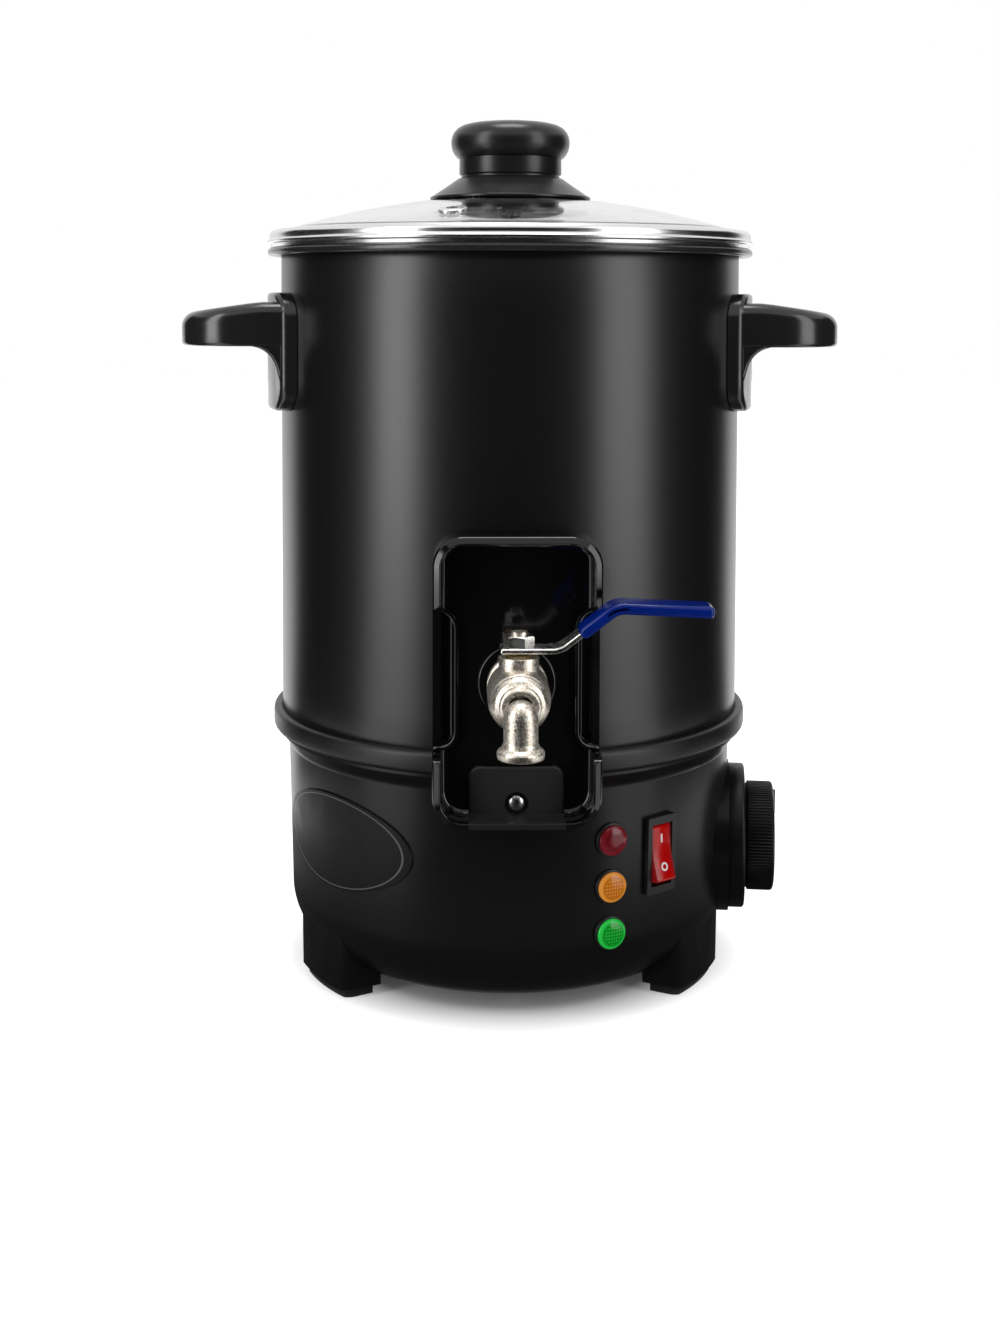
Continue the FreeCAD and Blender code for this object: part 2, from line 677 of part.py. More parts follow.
leg_top = S.base_ground_gap + S.base_round
leg_face = S.base_foot_radius - S.leg_inset


def leg_cone(name, inset):
    """The draft of the base wall carried down to the foot, moved inwards by inset."""
    foot, top = wall_radius(S.foot_height) - inset, wall_radius(leg_top) - inset
    return spun(name, (ZERO, S.foot_height), (foot, S.foot_height), (top, leg_top), (ZERO, leg_top))


def leg_outline(inset, rounding):
    """Plan of a leg: flat sides, the outer corners rounded; the outer face is trimmed by the cone."""
    half, inner = S.leg_width / 2 - inset, -(leg_face - S.leg_depth)
    outer = -(leg_face - inset)
    return (half, inner), (-half, inner), (-half, outer, rounding), (half, outer, rounding)


def four_fold(name, shape, joined):
    """The shape and its images across both upright planes."""
    across = mirrored(name + "_across", shape, Vector(1, 0, 0))
    pair = joined(name + "_pair", shape, across)
    return pair, mirrored(name + "_back", pair, Vector(0, 1, 0))


leg_block = stand(prism("leg_block", leg_top - S.foot_height, leg_outline(ZERO, S.leg_round), start=S.foot_height),
                  S.leg_azimuth)
leg = common("leg", leg_block, leg_cone("leg_cone", S.leg_inset))
hollow_block = stand(prism("leg_hollow_block", leg_top - S.foot_height - S.leg_wall,
                           leg_outline(S.leg_wall, S.leg_round - S.leg_wall), start=S.foot_height + S.leg_wall),
                     S.leg_azimuth)
leg_hollow = common("leg_hollow", hollow_block, leg_cone("leg_hollow_cone", S.leg_inset + S.leg_wall))
legs = four_fold("leg_set", leg, fuse)
leg_hollows = four_fold("leg_hollow_set", leg_hollow, fuse)


def upright_set(name, make, azimuths, reach):
    """One upright solid from make(name) at each azimuth."""
    return [stand(make(f"{name}_{n}"), azimuth, reach) for n, azimuth in enumerate(azimuths)]


cover_azimuths = (0, 90, 180, 270)
base_screw_azimuths = (S.base_screw_azimuth, 180 - S.base_screw_azimuth, 180 + S.base_screw_azimuth,
                       -S.base_screw_azimuth)
floor_top = S.base_ground_gap + S.base_wall


def tube(name, radius, bore, bottom, top):
    return spun(name, (bore, bottom), (radius, bottom), (radius, top), (bore, top))


cover_bosses = upright_set("cover_boss", lambda name: tube(
    name, S.cover_boss_radius, S.cover_screw_radius + S.press_gap, S.base_ground_gap,
    floor_top + S.cover_boss_height), cover_azimuths, S.cover_screw_reach)
cover_holes = upright_set("cover_hole", lambda name: spun(
    name, (ZERO, ZERO), (S.cover_screw_radius + S.press_gap, ZERO),
    (S.cover_screw_radius + S.press_gap, floor_top), (ZERO, floor_top)), cover_azimuths, S.cover_screw_reach)
rim_bosses = upright_set("rim_boss", lambda name: spun(
    name, (ZERO, base_top - S.base_boss_height), (S.base_boss_radius, base_top - S.base_boss_height),
    (S.base_boss_radius, base_top), (ZERO, base_top)), base_screw_azimuths, S.base_screw_reach)
rim_holes = upright_set("rim_hole", lambda name: spun(
    name, (ZERO, base_top - S.base_screw_length), (S.base_screw_radius + S.press_gap, base_top - S.base_screw_length),
    (S.base_screw_radius + S.press_gap, base_top + S.base_wall), (ZERO, base_top + S.base_wall)),
    base_screw_azimuths, S.base_screw_reach)

dial_inner_face = S.dial_boss_reach - S.base_wall
dial_boss = face(prism("dial_boss", S.base_wall * 6, circles=((ZERO, ZERO, S.dial_boss_radius),),
                       start=S.dial_boss_reach - S.base_wall * 6), S.dial_azimuth, S.dial_height)
dial_hollow = face(prism("dial_hollow", S.base_wall * 8,
                         circles=((ZERO, ZERO, S.dial_boss_radius - S.base_wall),),
                         start=dial_inner_face - S.base_wall * 8), S.dial_azimuth, S.dial_height)
dial_hole = face(prism("dial_hole", S.base_wall * 3, circles=((ZERO, ZERO, S.dial_bushing_radius + S.seat_gap),),
                       start=dial_inner_face - S.base_wall), S.dial_azimuth, S.dial_height)

inlet_inner_face = S.inlet_boss_reach - S.base_wall
inlet_round = S.base_wall + 1
inlet_boss = face(prism("inlet_boss", S.base_wall * 5,
                        rectangle(S.inlet_boss_width, S.inlet_boss_height, inlet_round),
                        start=S.inlet_boss_reach - S.base_wall * 5), 180, S.inlet_height)
inlet_hollow = face(prism("inlet_hollow", S.base_wall * 8,
                          rectangle(S.inlet_boss_width - S.base_wall * 2, S.inlet_boss_height - S.base_wall * 2,
                                    inlet_round / 2), start=inlet_inner_face - S.base_wall * 8),
                    180, S.inlet_height)
inlet_hole = face(prism("inlet_hole", S.base_wall * 3,
                        rectangle(S.inlet_body_width + S.seat_gap, S.inlet_body_height + S.seat_gap),
                        start=inlet_inner_face - S.base_wall), 180, S.inlet_height)
inlet_screw_holes = [face(prism(f"inlet_screw_hole_{n}", S.base_wall * 3,
                                circles=((side * S.inlet_screw_pitch / 2, ZERO,
                                          S.inlet_screw_radius + S.press_gap),),
                                start=inlet_inner_face - S.base_wall), 180, S.inlet_height)
                     for n, side in enumerate((-1, 1))]

lamp_heights = [S.lamp_top_height - S.lamp_pitch * n for n in range(3)]
lamp_holes = [face(prism(f"lamp_hole_{n}", S.base_wall * 4, circles=((ZERO, ZERO, S.lamp_body_radius + S.press_gap),),
                         start=-S.base_wall * 2), S.lamp_azimuth, height, wall_radius(height), base_lean)
              for n, height in enumerate(lamp_heights)]
switch_hole = face(prism("switch_hole", S.base_wall * 4,
                         rectangle(S.switch_body_width + S.press_gap * 2, S.switch_body_height + S.press_gap * 2),
                         start=-S.base_wall * 2),
                   S.switch_azimuth, S.switch_height, wall_radius(S.switch_height), base_lean)
guard_screw_hole = face(prism("guard_screw_hole", S.base_wall * 6,
                              circles=((ZERO, ZERO, S.guard_screw_radius + S.press_gap),),
                              start=S.base_shoulder_radius - S.base_wall * 3), 0, S.guard_screw_height)

base_solid = fuse("base_solid", bowl, *legs, *cover_bosses, *rim_bosses, dial_boss, inlet_boss)
node(cut("base_housing", base_solid, *leg_hollows, *cover_holes, *rim_holes, dial_hollow, dial_hole, inlet_hollow,
         inlet_hole, *inlet_screw_holes, *lamp_holes, switch_hole, guard_screw_hole))

pad_outline = leg_outline(S.foot_inset, S.leg_round - S.foot_inset)
pad_inner = -(leg_face - S.leg_depth + S.foot_inset)
foot = stand(prism("foot", S.foot_height, ((pad_outline[0][0], pad_inner), (pad_outline[1][0], pad_inner),
                                           *pad_outline[2:])), S.leg_azimuth)
foot_trim = common("foot_trim", foot, cylinder("foot_cylinder", leg_face - S.foot_inset, S.foot_height))
node(group("foot_pads", *four_fold("foot_set", foot_trim, group)))

cover_bottom = S.base_ground_gap - S.cover_sheet
cover = prism("bottom_cover", S.cover_sheet, circles=(
    (ZERO, ZERO, S.cover_radius),
    *((S.cover_screw_reach * x, S.cover_screw_reach * y, S.cover_screw_radius + S.press_gap)
      for x, y in ((1.0, 0.0), (-1.0, 0.0), (0.0, 1.0), (0.0, -1.0)))), start=cover_bottom)
vent_sketch = new_sketch(cover, "XY_Plane", "vent_outline", cover_bottom)
outline(vent_sketch, *rectangle(S.vent_length, S.vent_width, S.vent_width * 0.4,
                                x=S.vent_inner_reach + S.vent_length / 2))
vent = cover.newObject("PartDesign::Pocket", "vent")
vent.Profile = vent_sketch
vent.Reversed = True
bind(vent, "Length", S.cover_sheet)
vents = cover.newObject("PartDesign::PolarPattern", "vents")
vents.Originals = [vent]
vents.Axis = (vent_sketch, ["N_Axis"])
vents.Angle = 360
vents.Occurrences = VENT_COUNT
cover.Tip = vents
node(cover)


def screws_up(name, radius, length, azimuths, reach, height):
    """Pan screws whose heads look down."""
    return [document_place(pan_screw(f"{name}_{n}", radius, length), azimuth, reach, height)
            for n, azimuth in enumerate(azimuths)]


def document_place(solid, azimuth, reach, height):
    place = place_expression(reach * sine(azimuth), -(reach * cosine(azimuth)), height, ((1, 0, 0), 180))
    solid.setExpression("Placement", place)
    return solid


node(group("cover_screws", *screws_up("cover_screw", S.cover_screw_radius, S.cover_screw_length, cover_azimuths,
                                      S.cover_screw_reach, cover_bottom)))

# ---- seam ring, jacket and heat shield ----

ring_top = base_top + S.ring_height
ledge_bore = S.jacket_radius - S.ring_ledge_width
ring = spun("seam_ring_blank",
            (ledge_bore, base_top), (S.ring_radius, base_top, S.ring_round),
            (S.ring_radius, ring_top, S.ring_round), (S.jacket_radius + S.press_gap, ring_top),
            (S.jacket_radius + S.press_gap, jacket_foot), (ledge_bore, jacket_foot))
ring_holes = upright_set("ring_hole", lambda name: spun(
    name, (ZERO, base_top - 1), (S.base_screw_radius + S.press_gap, base_top - 1),
    (S.base_screw_radius + S.press_gap, jacket_foot + 3), (ZERO, jacket_foot + 3)),
    base_screw_azimuths, S.base_screw_reach)
node(cut("seam_ring", ring, *ring_holes))

tap_hole_radius = S.tap_sleeve_radius + S.tap_hole_gap
jacket_blank = tube("jacket_blank", S.jacket_radius, S.jacket_radius - S.jacket_wall, jacket_foot, jacket_top)
jacket_tap_hole = face(prism("jacket_tap_hole", S.jacket_radius, circles=((ZERO, ZERO, tap_hole_radius),),
                             start=S.jacket_radius / 2), 0, tap_height)
handle_bar_height = handle_height + S.handle_bar_rise


def handle_screw_solids(name, make):
    """A solid at each of the four handle screws, pointing outwards."""
    solids = []
    for n, (azimuth, side) in enumerate(((90, -1), (90, 1), (-90, -1), (-90, 1))):
        solid = make(f"{name}_{n}")
        along = side * S.handle_screw_spread / 2
        turned = place_expression(along * cosine(azimuth), along * sine(azimuth), handle_bar_height,
                                  ((0, 0, 1), azimuth), ((1, 0, 0), 90))
        solid.setExpression("Placement", turned)
        solids.append(solid)
    return solids


jacket_screw_holes = handle_screw_solids("jacket_screw_hole", lambda name: cylinder(
    name, S.handle_screw_radius + S.press_gap, S.jacket_radius + S.handle_screw_length))
node(cut("outer_jacket", jacket_blank, jacket_tap_hole, *jacket_screw_holes))

shield_radius = S.jacket_radius - S.jacket_wall - S.shield_edge
capillary_reach = S.probe_half + S.capillary_bend * 2
wire_x = capillary_reach * sine(S.dial_azimuth) + S.probe_offset * cosine(S.dial_azimuth)
wire_y = S.probe_offset * sine(S.dial_azimuth) - capillary_reach * cosine(S.dial_azimuth)
shield = prism("heat_shield_blank", S.shield_sheet, start=jacket_foot, circles=(
    (ZERO, ZERO, shield_radius), (ZERO, ZERO, S.stud_radius + S.press_gap),
    (wire_x, wire_y, S.shield_hole_radius), (-wire_x, -wire_y, S.shield_hole_radius)))
shield_holes = upright_set("shield_hole", lambda name: spun(
    name, (ZERO, base_top), (S.base_screw_radius + S.press_gap, base_top),
    (S.base_screw_radius + S.press_gap, jacket_foot + 3), (ZERO, jacket_foot + 3)),
    base_screw_azimuths, S.base_screw_reach)
node(cut("heat_shield", shield, *shield_holes))
base_screws = upright_set("base_screw", lambda name: pan_screw(name, S.base_screw_radius, S.base_screw_length),
                          (0, 0, 0, 0), ZERO)
for screw, azimuth in zip(base_screws, base_screw_azimuths):
    stand(screw, azimuth, S.base_screw_reach, jacket_foot + S.shield_sheet)
node(group("base_screws", *base_screws))

# ---- pot: deep-drawn, with a rolled rim over the jacket and a stud under the floor ----

roll_inside, roll_foot, roll_round = S.rim_reach - S.rim_roll * 2, rim_top - S.rim_roll * 2, S.rim_roll * 0.9
pot_sheet = spun("pot_sheet",
                 (ZERO, pot_underside), (S.pot_radius, pot_underside, S.pot_corner), (S.pot_radius, jacket_top),
                 (roll_inside, jacket_top), (roll_inside, roll_foot, roll_round),
                 (S.rim_reach, roll_foot, roll_round), (S.rim_reach, rim_top, roll_round),
                 (pot_inner_radius, rim_top), (pot_inner_radius, pot_floor, S.pot_corner - S.pot_wall),
                 (ZERO, pot_floor))
stud = cylinder("pot_stud", S.stud_radius, S.stud_length, pot_underside - S.stud_length)
pot_tap_hole = face(prism("pot_tap_hole", S.pot_radius, start=S.pot_radius / 2,
                          circles=((ZERO, ZERO, S.tap_tail_radius + S.press_gap),)), 0, tap_height)
node(cut("inner_pot", fuse("pot_solid", pot_sheet, stud), pot_tap_hole))

# ---- heating: spreader plate, tubular element, nuts, thermal cut-out ----

node(tube("heater_plate", S.heater_radius, S.stud_radius + S.press_gap, heater_underside, pot_underside))
element_height = heater_underside - S.element_radius
element_ring = document.addObject("Part::Torus", "element_ring")
bind(element_ring, "Radius1", S.element_reach)
bind(element_ring, "Radius2", S.element_radius)
bind(element_ring, "Angle3", 360 - S.element_gap_angle)
bind(element_ring, "Placement.Base.z", element_height)
pins = []
for n, angle in enumerate((ZERO, -S.element_gap_angle)):
    pin = cylinder(f"element_pin_{n}", S.terminal_radius, S.terminal_length)
    pin.setExpression("Placement", place_expression(
        S.element_reach * cosine(angle), S.element_reach * sine(angle), element_height - S.terminal_length,
        ((0, 0, 1), ZERO)))
    pins.append(pin)
node(fuse("heating_element", element_ring, *pins))


def hex_nut(name, flats, bore, height, bottom=ZERO):
    return prism(name, height, hexagon(flats), circles=((ZERO, ZERO, bore),), start=bottom)


nut_bore = S.stud_radius + S.press_gap
node(group("stud_nuts",
           hex_nut("heater_nut", S.nut_flats, nut_bore, S.nut_height, heater_underside - S.nut_height),
           hex_nut("shield_nut", S.nut_flats, nut_bore, S.nut_height, jacket_foot - S.nut_height)))

cutout_top = heater_underside - S.cutout_height
cutout_case = stand(cylinder("cutout_case", S.cutout_radius, S.cutout_height), 200, S.cutout_reach, cutout_top)
cutout_blades = [stand(prism(f"cutout_blade_{n}", S.cutout_blade,
                             rectangle(S.terminal_radius * 0.4, S.cutout_radius * 0.75,
                                       x=side * S.cutout_radius / 2)),
                       200, S.cutout_reach, cutout_top - S.cutout_blade) for n, side in enumerate((-1, 1))]
node(fuse("thermal_cutout", cutout_case, *cutout_blades))

# ---- lid: domed glass in a crimped steel rim, with a flared foot and a mushroom knob ----

lid_seat = rim_top
glass_edge = S.lid_rim_reach - S.lid_rim_sheet - S.glass_edge_gap
glass_bend = S.glass_dome_radius - S.glass_thickness
dome_centre = lid_seat + S.glass_edge_rise - root(S.glass_dome_radius * S.glass_dome_radius
                                                  - glass_edge * glass_edge)


def glass_top(radius):
    return dome_centre + root(S.glass_dome_radius * S.glass_dome_radius - radius * radius)


def glass_under(radius):
    return dome_centre + root(glass_bend * glass_bend - radius * radius)


lip_radius = S.lid_rim_reach - S.lid_lip
lip_under = glass_top(lip_radius) + S.press_gap
skirt_outer = pot_inner_radius - S.lid_skirt_gap
skirt_inner = skirt_outer - S.lid_rim_sheet
rim_inside = S.lid_rim_reach - S.lid_rim_sheet
node(spun("lid_rim",
          (skirt_inner, lid_seat - S.lid_skirt), (skirt_outer, lid_seat - S.lid_skirt), (skirt_outer, lid_seat),
          (S.lid_rim_reach, lid_seat), (S.lid_rim_reach, lip_under + S.lid_rim_sheet, S.lid_rim_sheet * 1.8),
          (lip_radius, lip_under + S.lid_rim_sheet), (lip_radius, lip_under), (rim_inside, lip_under),
          (rim_inside, lid_seat + S.lid_rim_sheet), (skirt_inner, lid_seat + S.lid_rim_sheet)))

screw_hole = S.knob_screw_radius + S.seat_gap
glass_blank = spun("glass_blank",
                   (screw_hole, glass_under(screw_hole)), Bulge(glass_bend, left=True),
                   (glass_edge, glass_under(glass_edge)), (glass_edge, glass_top(glass_edge)),
                   Bulge(S.glass_dome_radius), (screw_hole, glass_top(screw_hole)))
eyelet_neck = S.eyelet_bore_radius + S.eyelet_sheet
eyelet_lean = slope_angle(S.eyelet_reach, root(S.glass_dome_radius * S.glass_dome_radius
                                               - S.eyelet_reach * S.eyelet_reach))


def on_glass(solid):
    """Put a solid on the dome at the eyelet, square to the glass."""
    place = place_expression(S.eyelet_reach * sine(S.eyelet_azimuth), -(S.eyelet_reach * cosine(S.eyelet_azimuth)),
                             glass_top(S.eyelet_reach), ((0, 0, 1), S.eyelet_azimuth), ((1, 0, 0), eyelet_lean))
    solid.setExpression("Placement", place)
    return solid


eyelet_hole = on_glass(prism("eyelet_hole", S.glass_thickness * 3, start=-S.glass_thickness * 2,
                             circles=((ZERO, ZERO, eyelet_neck + S.press_gap),)))
node(cut("lid_glass", glass_blank, eyelet_hole))
eyelet_foot = -S.glass_thickness - S.press_gap * 2
node(on_glass(spun("steam_eyelet",
                   (S.eyelet_bore_radius, eyelet_foot - S.eyelet_sheet),
                   (S.eyelet_radius * 0.9, eyelet_foot - S.eyelet_sheet), (S.eyelet_radius * 0.9, eyelet_foot),
                   (eyelet_neck, eyelet_foot), (eyelet_neck, ZERO), (S.eyelet_radius, ZERO),
                   (S.eyelet_radius, S.eyelet_sheet, S.eyelet_sheet * 0.6),
                   (S.eyelet_bore_radius, S.eyelet_sheet))))
gasket_radius = glass_edge - S.gasket_width
node(spun("lid_gasket",
          (gasket_radius, lid_seat + S.lid_rim_sheet), (glass_edge, lid_seat + S.lid_rim_sheet),
          (glass_edge, glass_under(glass_edge) - S.press_gap),
          (gasket_radius, glass_under(gasket_radius) - S.press_gap)))

flare_foot = glass_top(S.skirt_radius)
flare_top = flare_foot + S.skirt_height
neck_top = flare_top + S.neck_height
flare_wall = S.skirt_radius - S.skirt_neck_radius
post_radius = S.knob_screw_radius * 2.8
node(spun("lid_knob_foot",
          (screw_hole, glass_top(screw_hole) + S.press_gap), (post_radius, glass_top(screw_hole) + S.press_gap),
          (post_radius, flare_top - S.base_wall), (S.skirt_neck_radius - S.base_wall, flare_top - S.base_wall),
          (S.skirt_radius - S.base_wall, glass_top(S.skirt_radius - S.base_wall) + S.press_gap),
          (S.skirt_radius, flare_foot + S.press_gap), (S.skirt_radius, flare_foot + S.skirt_height * 0.14),
          Bulge(flare_wall * 1.25, left=True), (S.skirt_neck_radius, flare_top),
          (S.skirt_neck_radius, neck_top), (screw_hole, neck_top)))
knob_screw_depth = S.cap_height * 0.65
node(spun("lid_knob",
          (S.knob_screw_radius + S.press_gap, neck_top), (S.cap_radius * 0.9, neck_top),
          (S.cap_radius, neck_top + S.cap_height * 0.3, S.cap_height * 0.25),
          (S.cap_radius, neck_top + S.cap_height * 0.52, S.cap_height * 0.3),
          (S.cap_radius * 0.72, neck_top + S.cap_height * 0.93), crown(S.cap_radius * 0.72, S.cap_height * 0.07),
          (ZERO, neck_top + S.cap_height), (ZERO, neck_top + knob_screw_depth),
          (S.knob_screw_radius + S.press_gap, neck_top + knob_screw_depth)))
washer_top = glass_under(S.knob_washer_radius) - S.press_gap
node(tube("knob_washer", S.knob_washer_radius, screw_hole, washer_top - S.knob_washer_sheet, washer_top))
knob_screw_length = neck_top + knob_screw_depth - (washer_top - S.knob_washer_sheet) - S.knob_screw_radius
node(document_place(pan_screw("knob_screw", S.knob_screw_radius, knob_screw_length), ZERO, ZERO,
                    washer_top - S.knob_washer_sheet))

# ---- side handles: a saddle plate on the jacket with a D-shaped bar ----

saddle_bore = S.jacket_radius + S.seat_gap
bar_inner_reach = S.handle_reach - S.handle_bar_width
bar_root = S.jacket_radius * 0.8


def handle(name, azimuth):
    plate = face(prism(name + "_plate_block", S.jacket_radius,
                       rectangle(S.handle_plate_width, S.handle_plate_height, S.handle_plate_round),
                       start=S.jacket_radius / 2), azimuth, handle_height)
    saddle = tube(name + "_saddle", saddle_bore + S.handle_plate_sheet, saddle_bore,
                  handle_height - S.handle_plate_height, handle_height + S.handle_plate_height)
    half, inner_half = S.handle_width / 2, S.handle_width / 2 - S.handle_bar_width
    inner_round = S.handle_round - S.handle_bar_width
    bar = prism(name + "_bar", S.handle_bar_height,
                ((half, -bar_root), (-half, -bar_root), (-half, -S.handle_reach, S.handle_round),
                 (half, -S.handle_reach, S.handle_round)),
                ((inner_half, -S.jacket_radius), (-inner_half, -S.jacket_radius),
                 (-inner_half, -bar_inner_reach, inner_round), (inner_half, -bar_inner_reach, inner_round)),
                start=handle_bar_height - S.handle_bar_height / 2)
    rounded_edges(bar, S.handle_edge_round, lambda edge: edge.BoundBox.ZLength < 0.01)
    stand(bar, azimuth)
    whole = fuse(name + "_whole", common(name + "_plate", plate, saddle), bar)
    bore = cylinder(name + "_bore", saddle_bore, handle_height * 2)
    return whole, bore


handle_holes = handle_screw_solids("handle_screw_hole", lambda name: cylinder(
    name, S.handle_screw_radius + S.press_gap, S.jacket_radius + S.handle_screw_length))
right_whole, right_bore = handle("handle_right", 90)
left_whole, left_bore = handle("handle_left", -90)
node(cut("right_handle", right_whole, right_bore, *handle_holes[:2]))
node(cut("left_handle", left_whole, left_bore, *handle_holes[2:]))
jacket_bore = S.jacket_radius - S.jacket_wall
head_edge = S.handle_screw_spread / 2 + S.handle_screw_radius * 1.9
screw_seat = root(jacket_bore * jacket_bore - head_edge * head_edge)
handle_screws = []
for n, (azimuth, side) in enumerate(((90, -1), (90, 1), (-90, -1), (-90, 1))):
    screw = pan_screw(f"handle_screw_{n}", S.handle_screw_radius, S.handle_screw_length)
    along = side * S.handle_screw_spread / 2
    screw.setExpression("Placement", place_expression(
        along * cosine(azimuth) + screw_seat * sine(azimuth), along * sine(azimuth) - screw_seat * cosine(azimuth),
        handle_bar_height, ((0, 0, 1), azimuth), ((1, 0, 0), -90)))
    handle_screws.append(screw)
node(group("handle_screws", *handle_screws))

# ---- tap guard: a moulded hood with a curved floor, side scoops and a screw pad ----

guard_middle = S.guard_foot + S.guard_height / 2
guard_back = S.jacket_radius * 0.84
guard_depth = S.guard_reach - guard_back


def guard_prism(name, *outlines, circles=(), height=guard_middle, length=guard_depth):
    return face(prism(name, length, *outlines, circles=circles, start=guard_back), 0, height)


guard_block = prism("guard_block", guard_depth, rectangle(S.guard_width, S.guard_height, S.guard_round),
                    start=guard_back)
rounded_edges(guard_block, S.guard_lip_round,
              lambda edge: edge.BoundBox.ZMin > S.guard_reach.value - 0.01)
face(guard_block, 0, guard_middle)
tower = S.guard_foot + S.guard_height * 2
guard_cavity = cut("guard_cavity",
                   guard_prism("guard_cavity_block",
                               rectangle(S.guard_width - S.guard_wall * 2, S.guard_height - S.guard_wall * 2,
                                         S.guard_round - S.guard_wall), length=guard_depth + S.guard_wall),
                   cylinder("guard_floor_cylinder", S.guard_floor_reach, tower))
scoop_middle = S.guard_scoop_foot + S.guard_scoop_height / 2
scoop_width = S.guard_width / 2
scoops = [cut(f"guard_scoop_{n}",
              guard_prism(f"guard_scoop_block_{n}",
                          rectangle(scoop_width, S.guard_scoop_height, S.guard_scoop_round,
                                    x=side * (S.guard_scoop_spread / 2 + scoop_width / 2)),
                          height=scoop_middle, length=guard_depth + S.guard_wall),
              cylinder(f"guard_scoop_cylinder_{n}", S.guard_scoop_reach, tower)) for n, side in enumerate((-1, 1))]
guard_relief = common("guard_relief",
                      guard_prism("guard_relief_block",
                                  rectangle(S.guard_scoop_spread - S.guard_wall * 2,
                                            S.guard_height - S.guard_wall * 2, S.guard_wall)),
                      cylinder("guard_relief_cylinder", S.guard_floor_reach - S.guard_floor, tower))
pad_height = S.guard_pad_top - S.guard_foot
guard_pad = common("guard_pad",
                   guard_prism("guard_pad_block",
                               ((-S.guard_pad_width / 2, ZERO), (S.guard_pad_width / 2, ZERO),
                                (S.guard_pad_width / 2, pad_height, S.guard_wall * 1.5),
                                (-S.guard_pad_width / 2, pad_height, S.guard_wall * 1.5)), height=S.guard_foot),
                   cylinder("guard_pad_cylinder", S.guard_floor_reach + S.guard_pad_rise, tower))
guard_collar = common("guard_collar",
                      guard_prism("guard_collar_block", circles=((ZERO, ZERO, S.guard_collar_radius),),
                                  height=tap_height),
                      cylinder("guard_collar_cylinder", S.guard_floor_reach + S.guard_collar_rise, tower))
screw_post = common("guard_screw_post",
                    guard_prism("guard_screw_post_block", circles=((ZERO, ZERO, S.guard_screw_well + S.press_gap),),
                                height=S.guard_screw_height),
                    cylinder("guard_screw_post_cylinder", S.guard_floor_reach, tower))
guard_clearance = spun("guard_clearance",
                       (ZERO, S.base_ground_gap), (wall_radius(S.base_ground_gap) + S.seat_gap, S.base_ground_gap),
                       (S.base_shoulder_radius + S.seat_gap, base_shoulder - S.seat_gap),
                       (S.base_rim_radius + S.seat_gap, base_top - S.base_rim_band - S.seat_gap),
                       (S.base_rim_radius + S.seat_gap, base_top - S.seat_gap),
                       (S.ring_radius + S.seat_gap, base_top - S.seat_gap),
                       (S.ring_radius + S.seat_gap, ring_top + S.seat_gap),
                       (saddle_bore, ring_top + S.seat_gap), (saddle_bore, tower), (ZERO, tower))
guard_tap_hole = guard_prism("guard_tap_hole", circles=((ZERO, ZERO, tap_hole_radius),), height=tap_height)
guard_screw_passage = guard_prism("guard_screw_passage",
                                  circles=((ZERO, ZERO, S.guard_screw_radius + S.press_gap),),
                                  height=S.guard_screw_height)
guard_screw_seat = S.guard_floor_reach - S.guard_floor / 2
guard_well = face(prism("guard_well", guard_depth, circles=((ZERO, ZERO, S.guard_screw_well),),
                        start=guard_screw_seat), 0, S.guard_screw_height)
guard_shell = cut("guard_shell", guard_block, guard_cavity, *scoops, guard_relief)
node(cut("tap_guard", fuse("guard_whole", guard_shell, guard_pad, guard_collar, screw_post),
         guard_clearance, guard_tap_hole, guard_screw_passage, guard_well))
guard_screw_length = guard_screw_seat - S.base_shoulder_radius + S.base_wall * 2
node(face(pan_screw("guard_screw", S.guard_screw_radius, guard_screw_length), 0, S.guard_screw_height,
          guard_screw_seat))

# ---- tap: threaded tail, ball chamber, bonnet, seats, ball, stem, spout ----

flange_back = S.guard_floor_reach + S.guard_collar_rise + S.seat_gap
stem_reach = flange_back + S.tap_flange_sheet + S.tap_neck_length + S.tap_chamber_half
spout_reach = stem_reach + S.spout_offset
chamber_back = stem_reach - S.tap_chamber_half
chamber_front = stem_reach + S.tap_chamber_half
cavity_back = stem_reach - S.tap_cavity_half
cavity_front = stem_reach + S.tap_cavity_half
tail_end = pot_inner_radius - S.tap_tail_inside
bonnet_top = tap_height + S.bonnet_rise


def tap_spun(name, *path):
    """Turned solid on the tap's own axis; the outline is (radius, reach)."""
    return face(spun(name, *path), 0, tap_height)


def tap_rod(name, radius, back, front):
    return tap_spun(name, (ZERO, back), (radius, back), (radius, front), (ZERO, front))


def stem_rod(name, radius, bottom, top):
    """Upright rod on the stem's axis."""
    return stand(spun(name, (ZERO, bottom), (radius, bottom), (radius, top), (ZERO, top)), ZERO, stem_reach)


tap_outside = tap_spun("tap_outside",
                       (ZERO, tail_end), (S.tap_tail_radius, tail_end), (S.tap_tail_radius, flange_back),
                       (S.tap_flange_radius, flange_back), (S.tap_flange_radius, flange_back + S.tap_flange_sheet),
                       (S.tap_neck_radius, flange_back + S.tap_flange_sheet), (S.tap_neck_radius, chamber_back),
                       (S.tap_chamber_radius, chamber_back), (S.tap_chamber_radius, chamber_front),
                       (ZERO, chamber_front))
bonnet = stem_rod("tap_bonnet", S.bonnet_radius, tap_height, bonnet_top)
packing_floor = tap_height + S.packing_rise
node(cut("valve_body", fuse("tap_casting", tap_outside, bonnet),
         tap_rod("tap_bore", S.tap_bore_radius, tail_end - 1, stem_reach),
         tap_rod("tap_cavity", S.tap_cavity_radius, cavity_back, chamber_front + 1),
         stem_rod("stem_bore", S.stem_radius + S.running_gap, tap_height, bonnet_top + 1),
         stem_rod("packing_bore", S.packing_radius, packing_floor, bonnet_top + 1)))

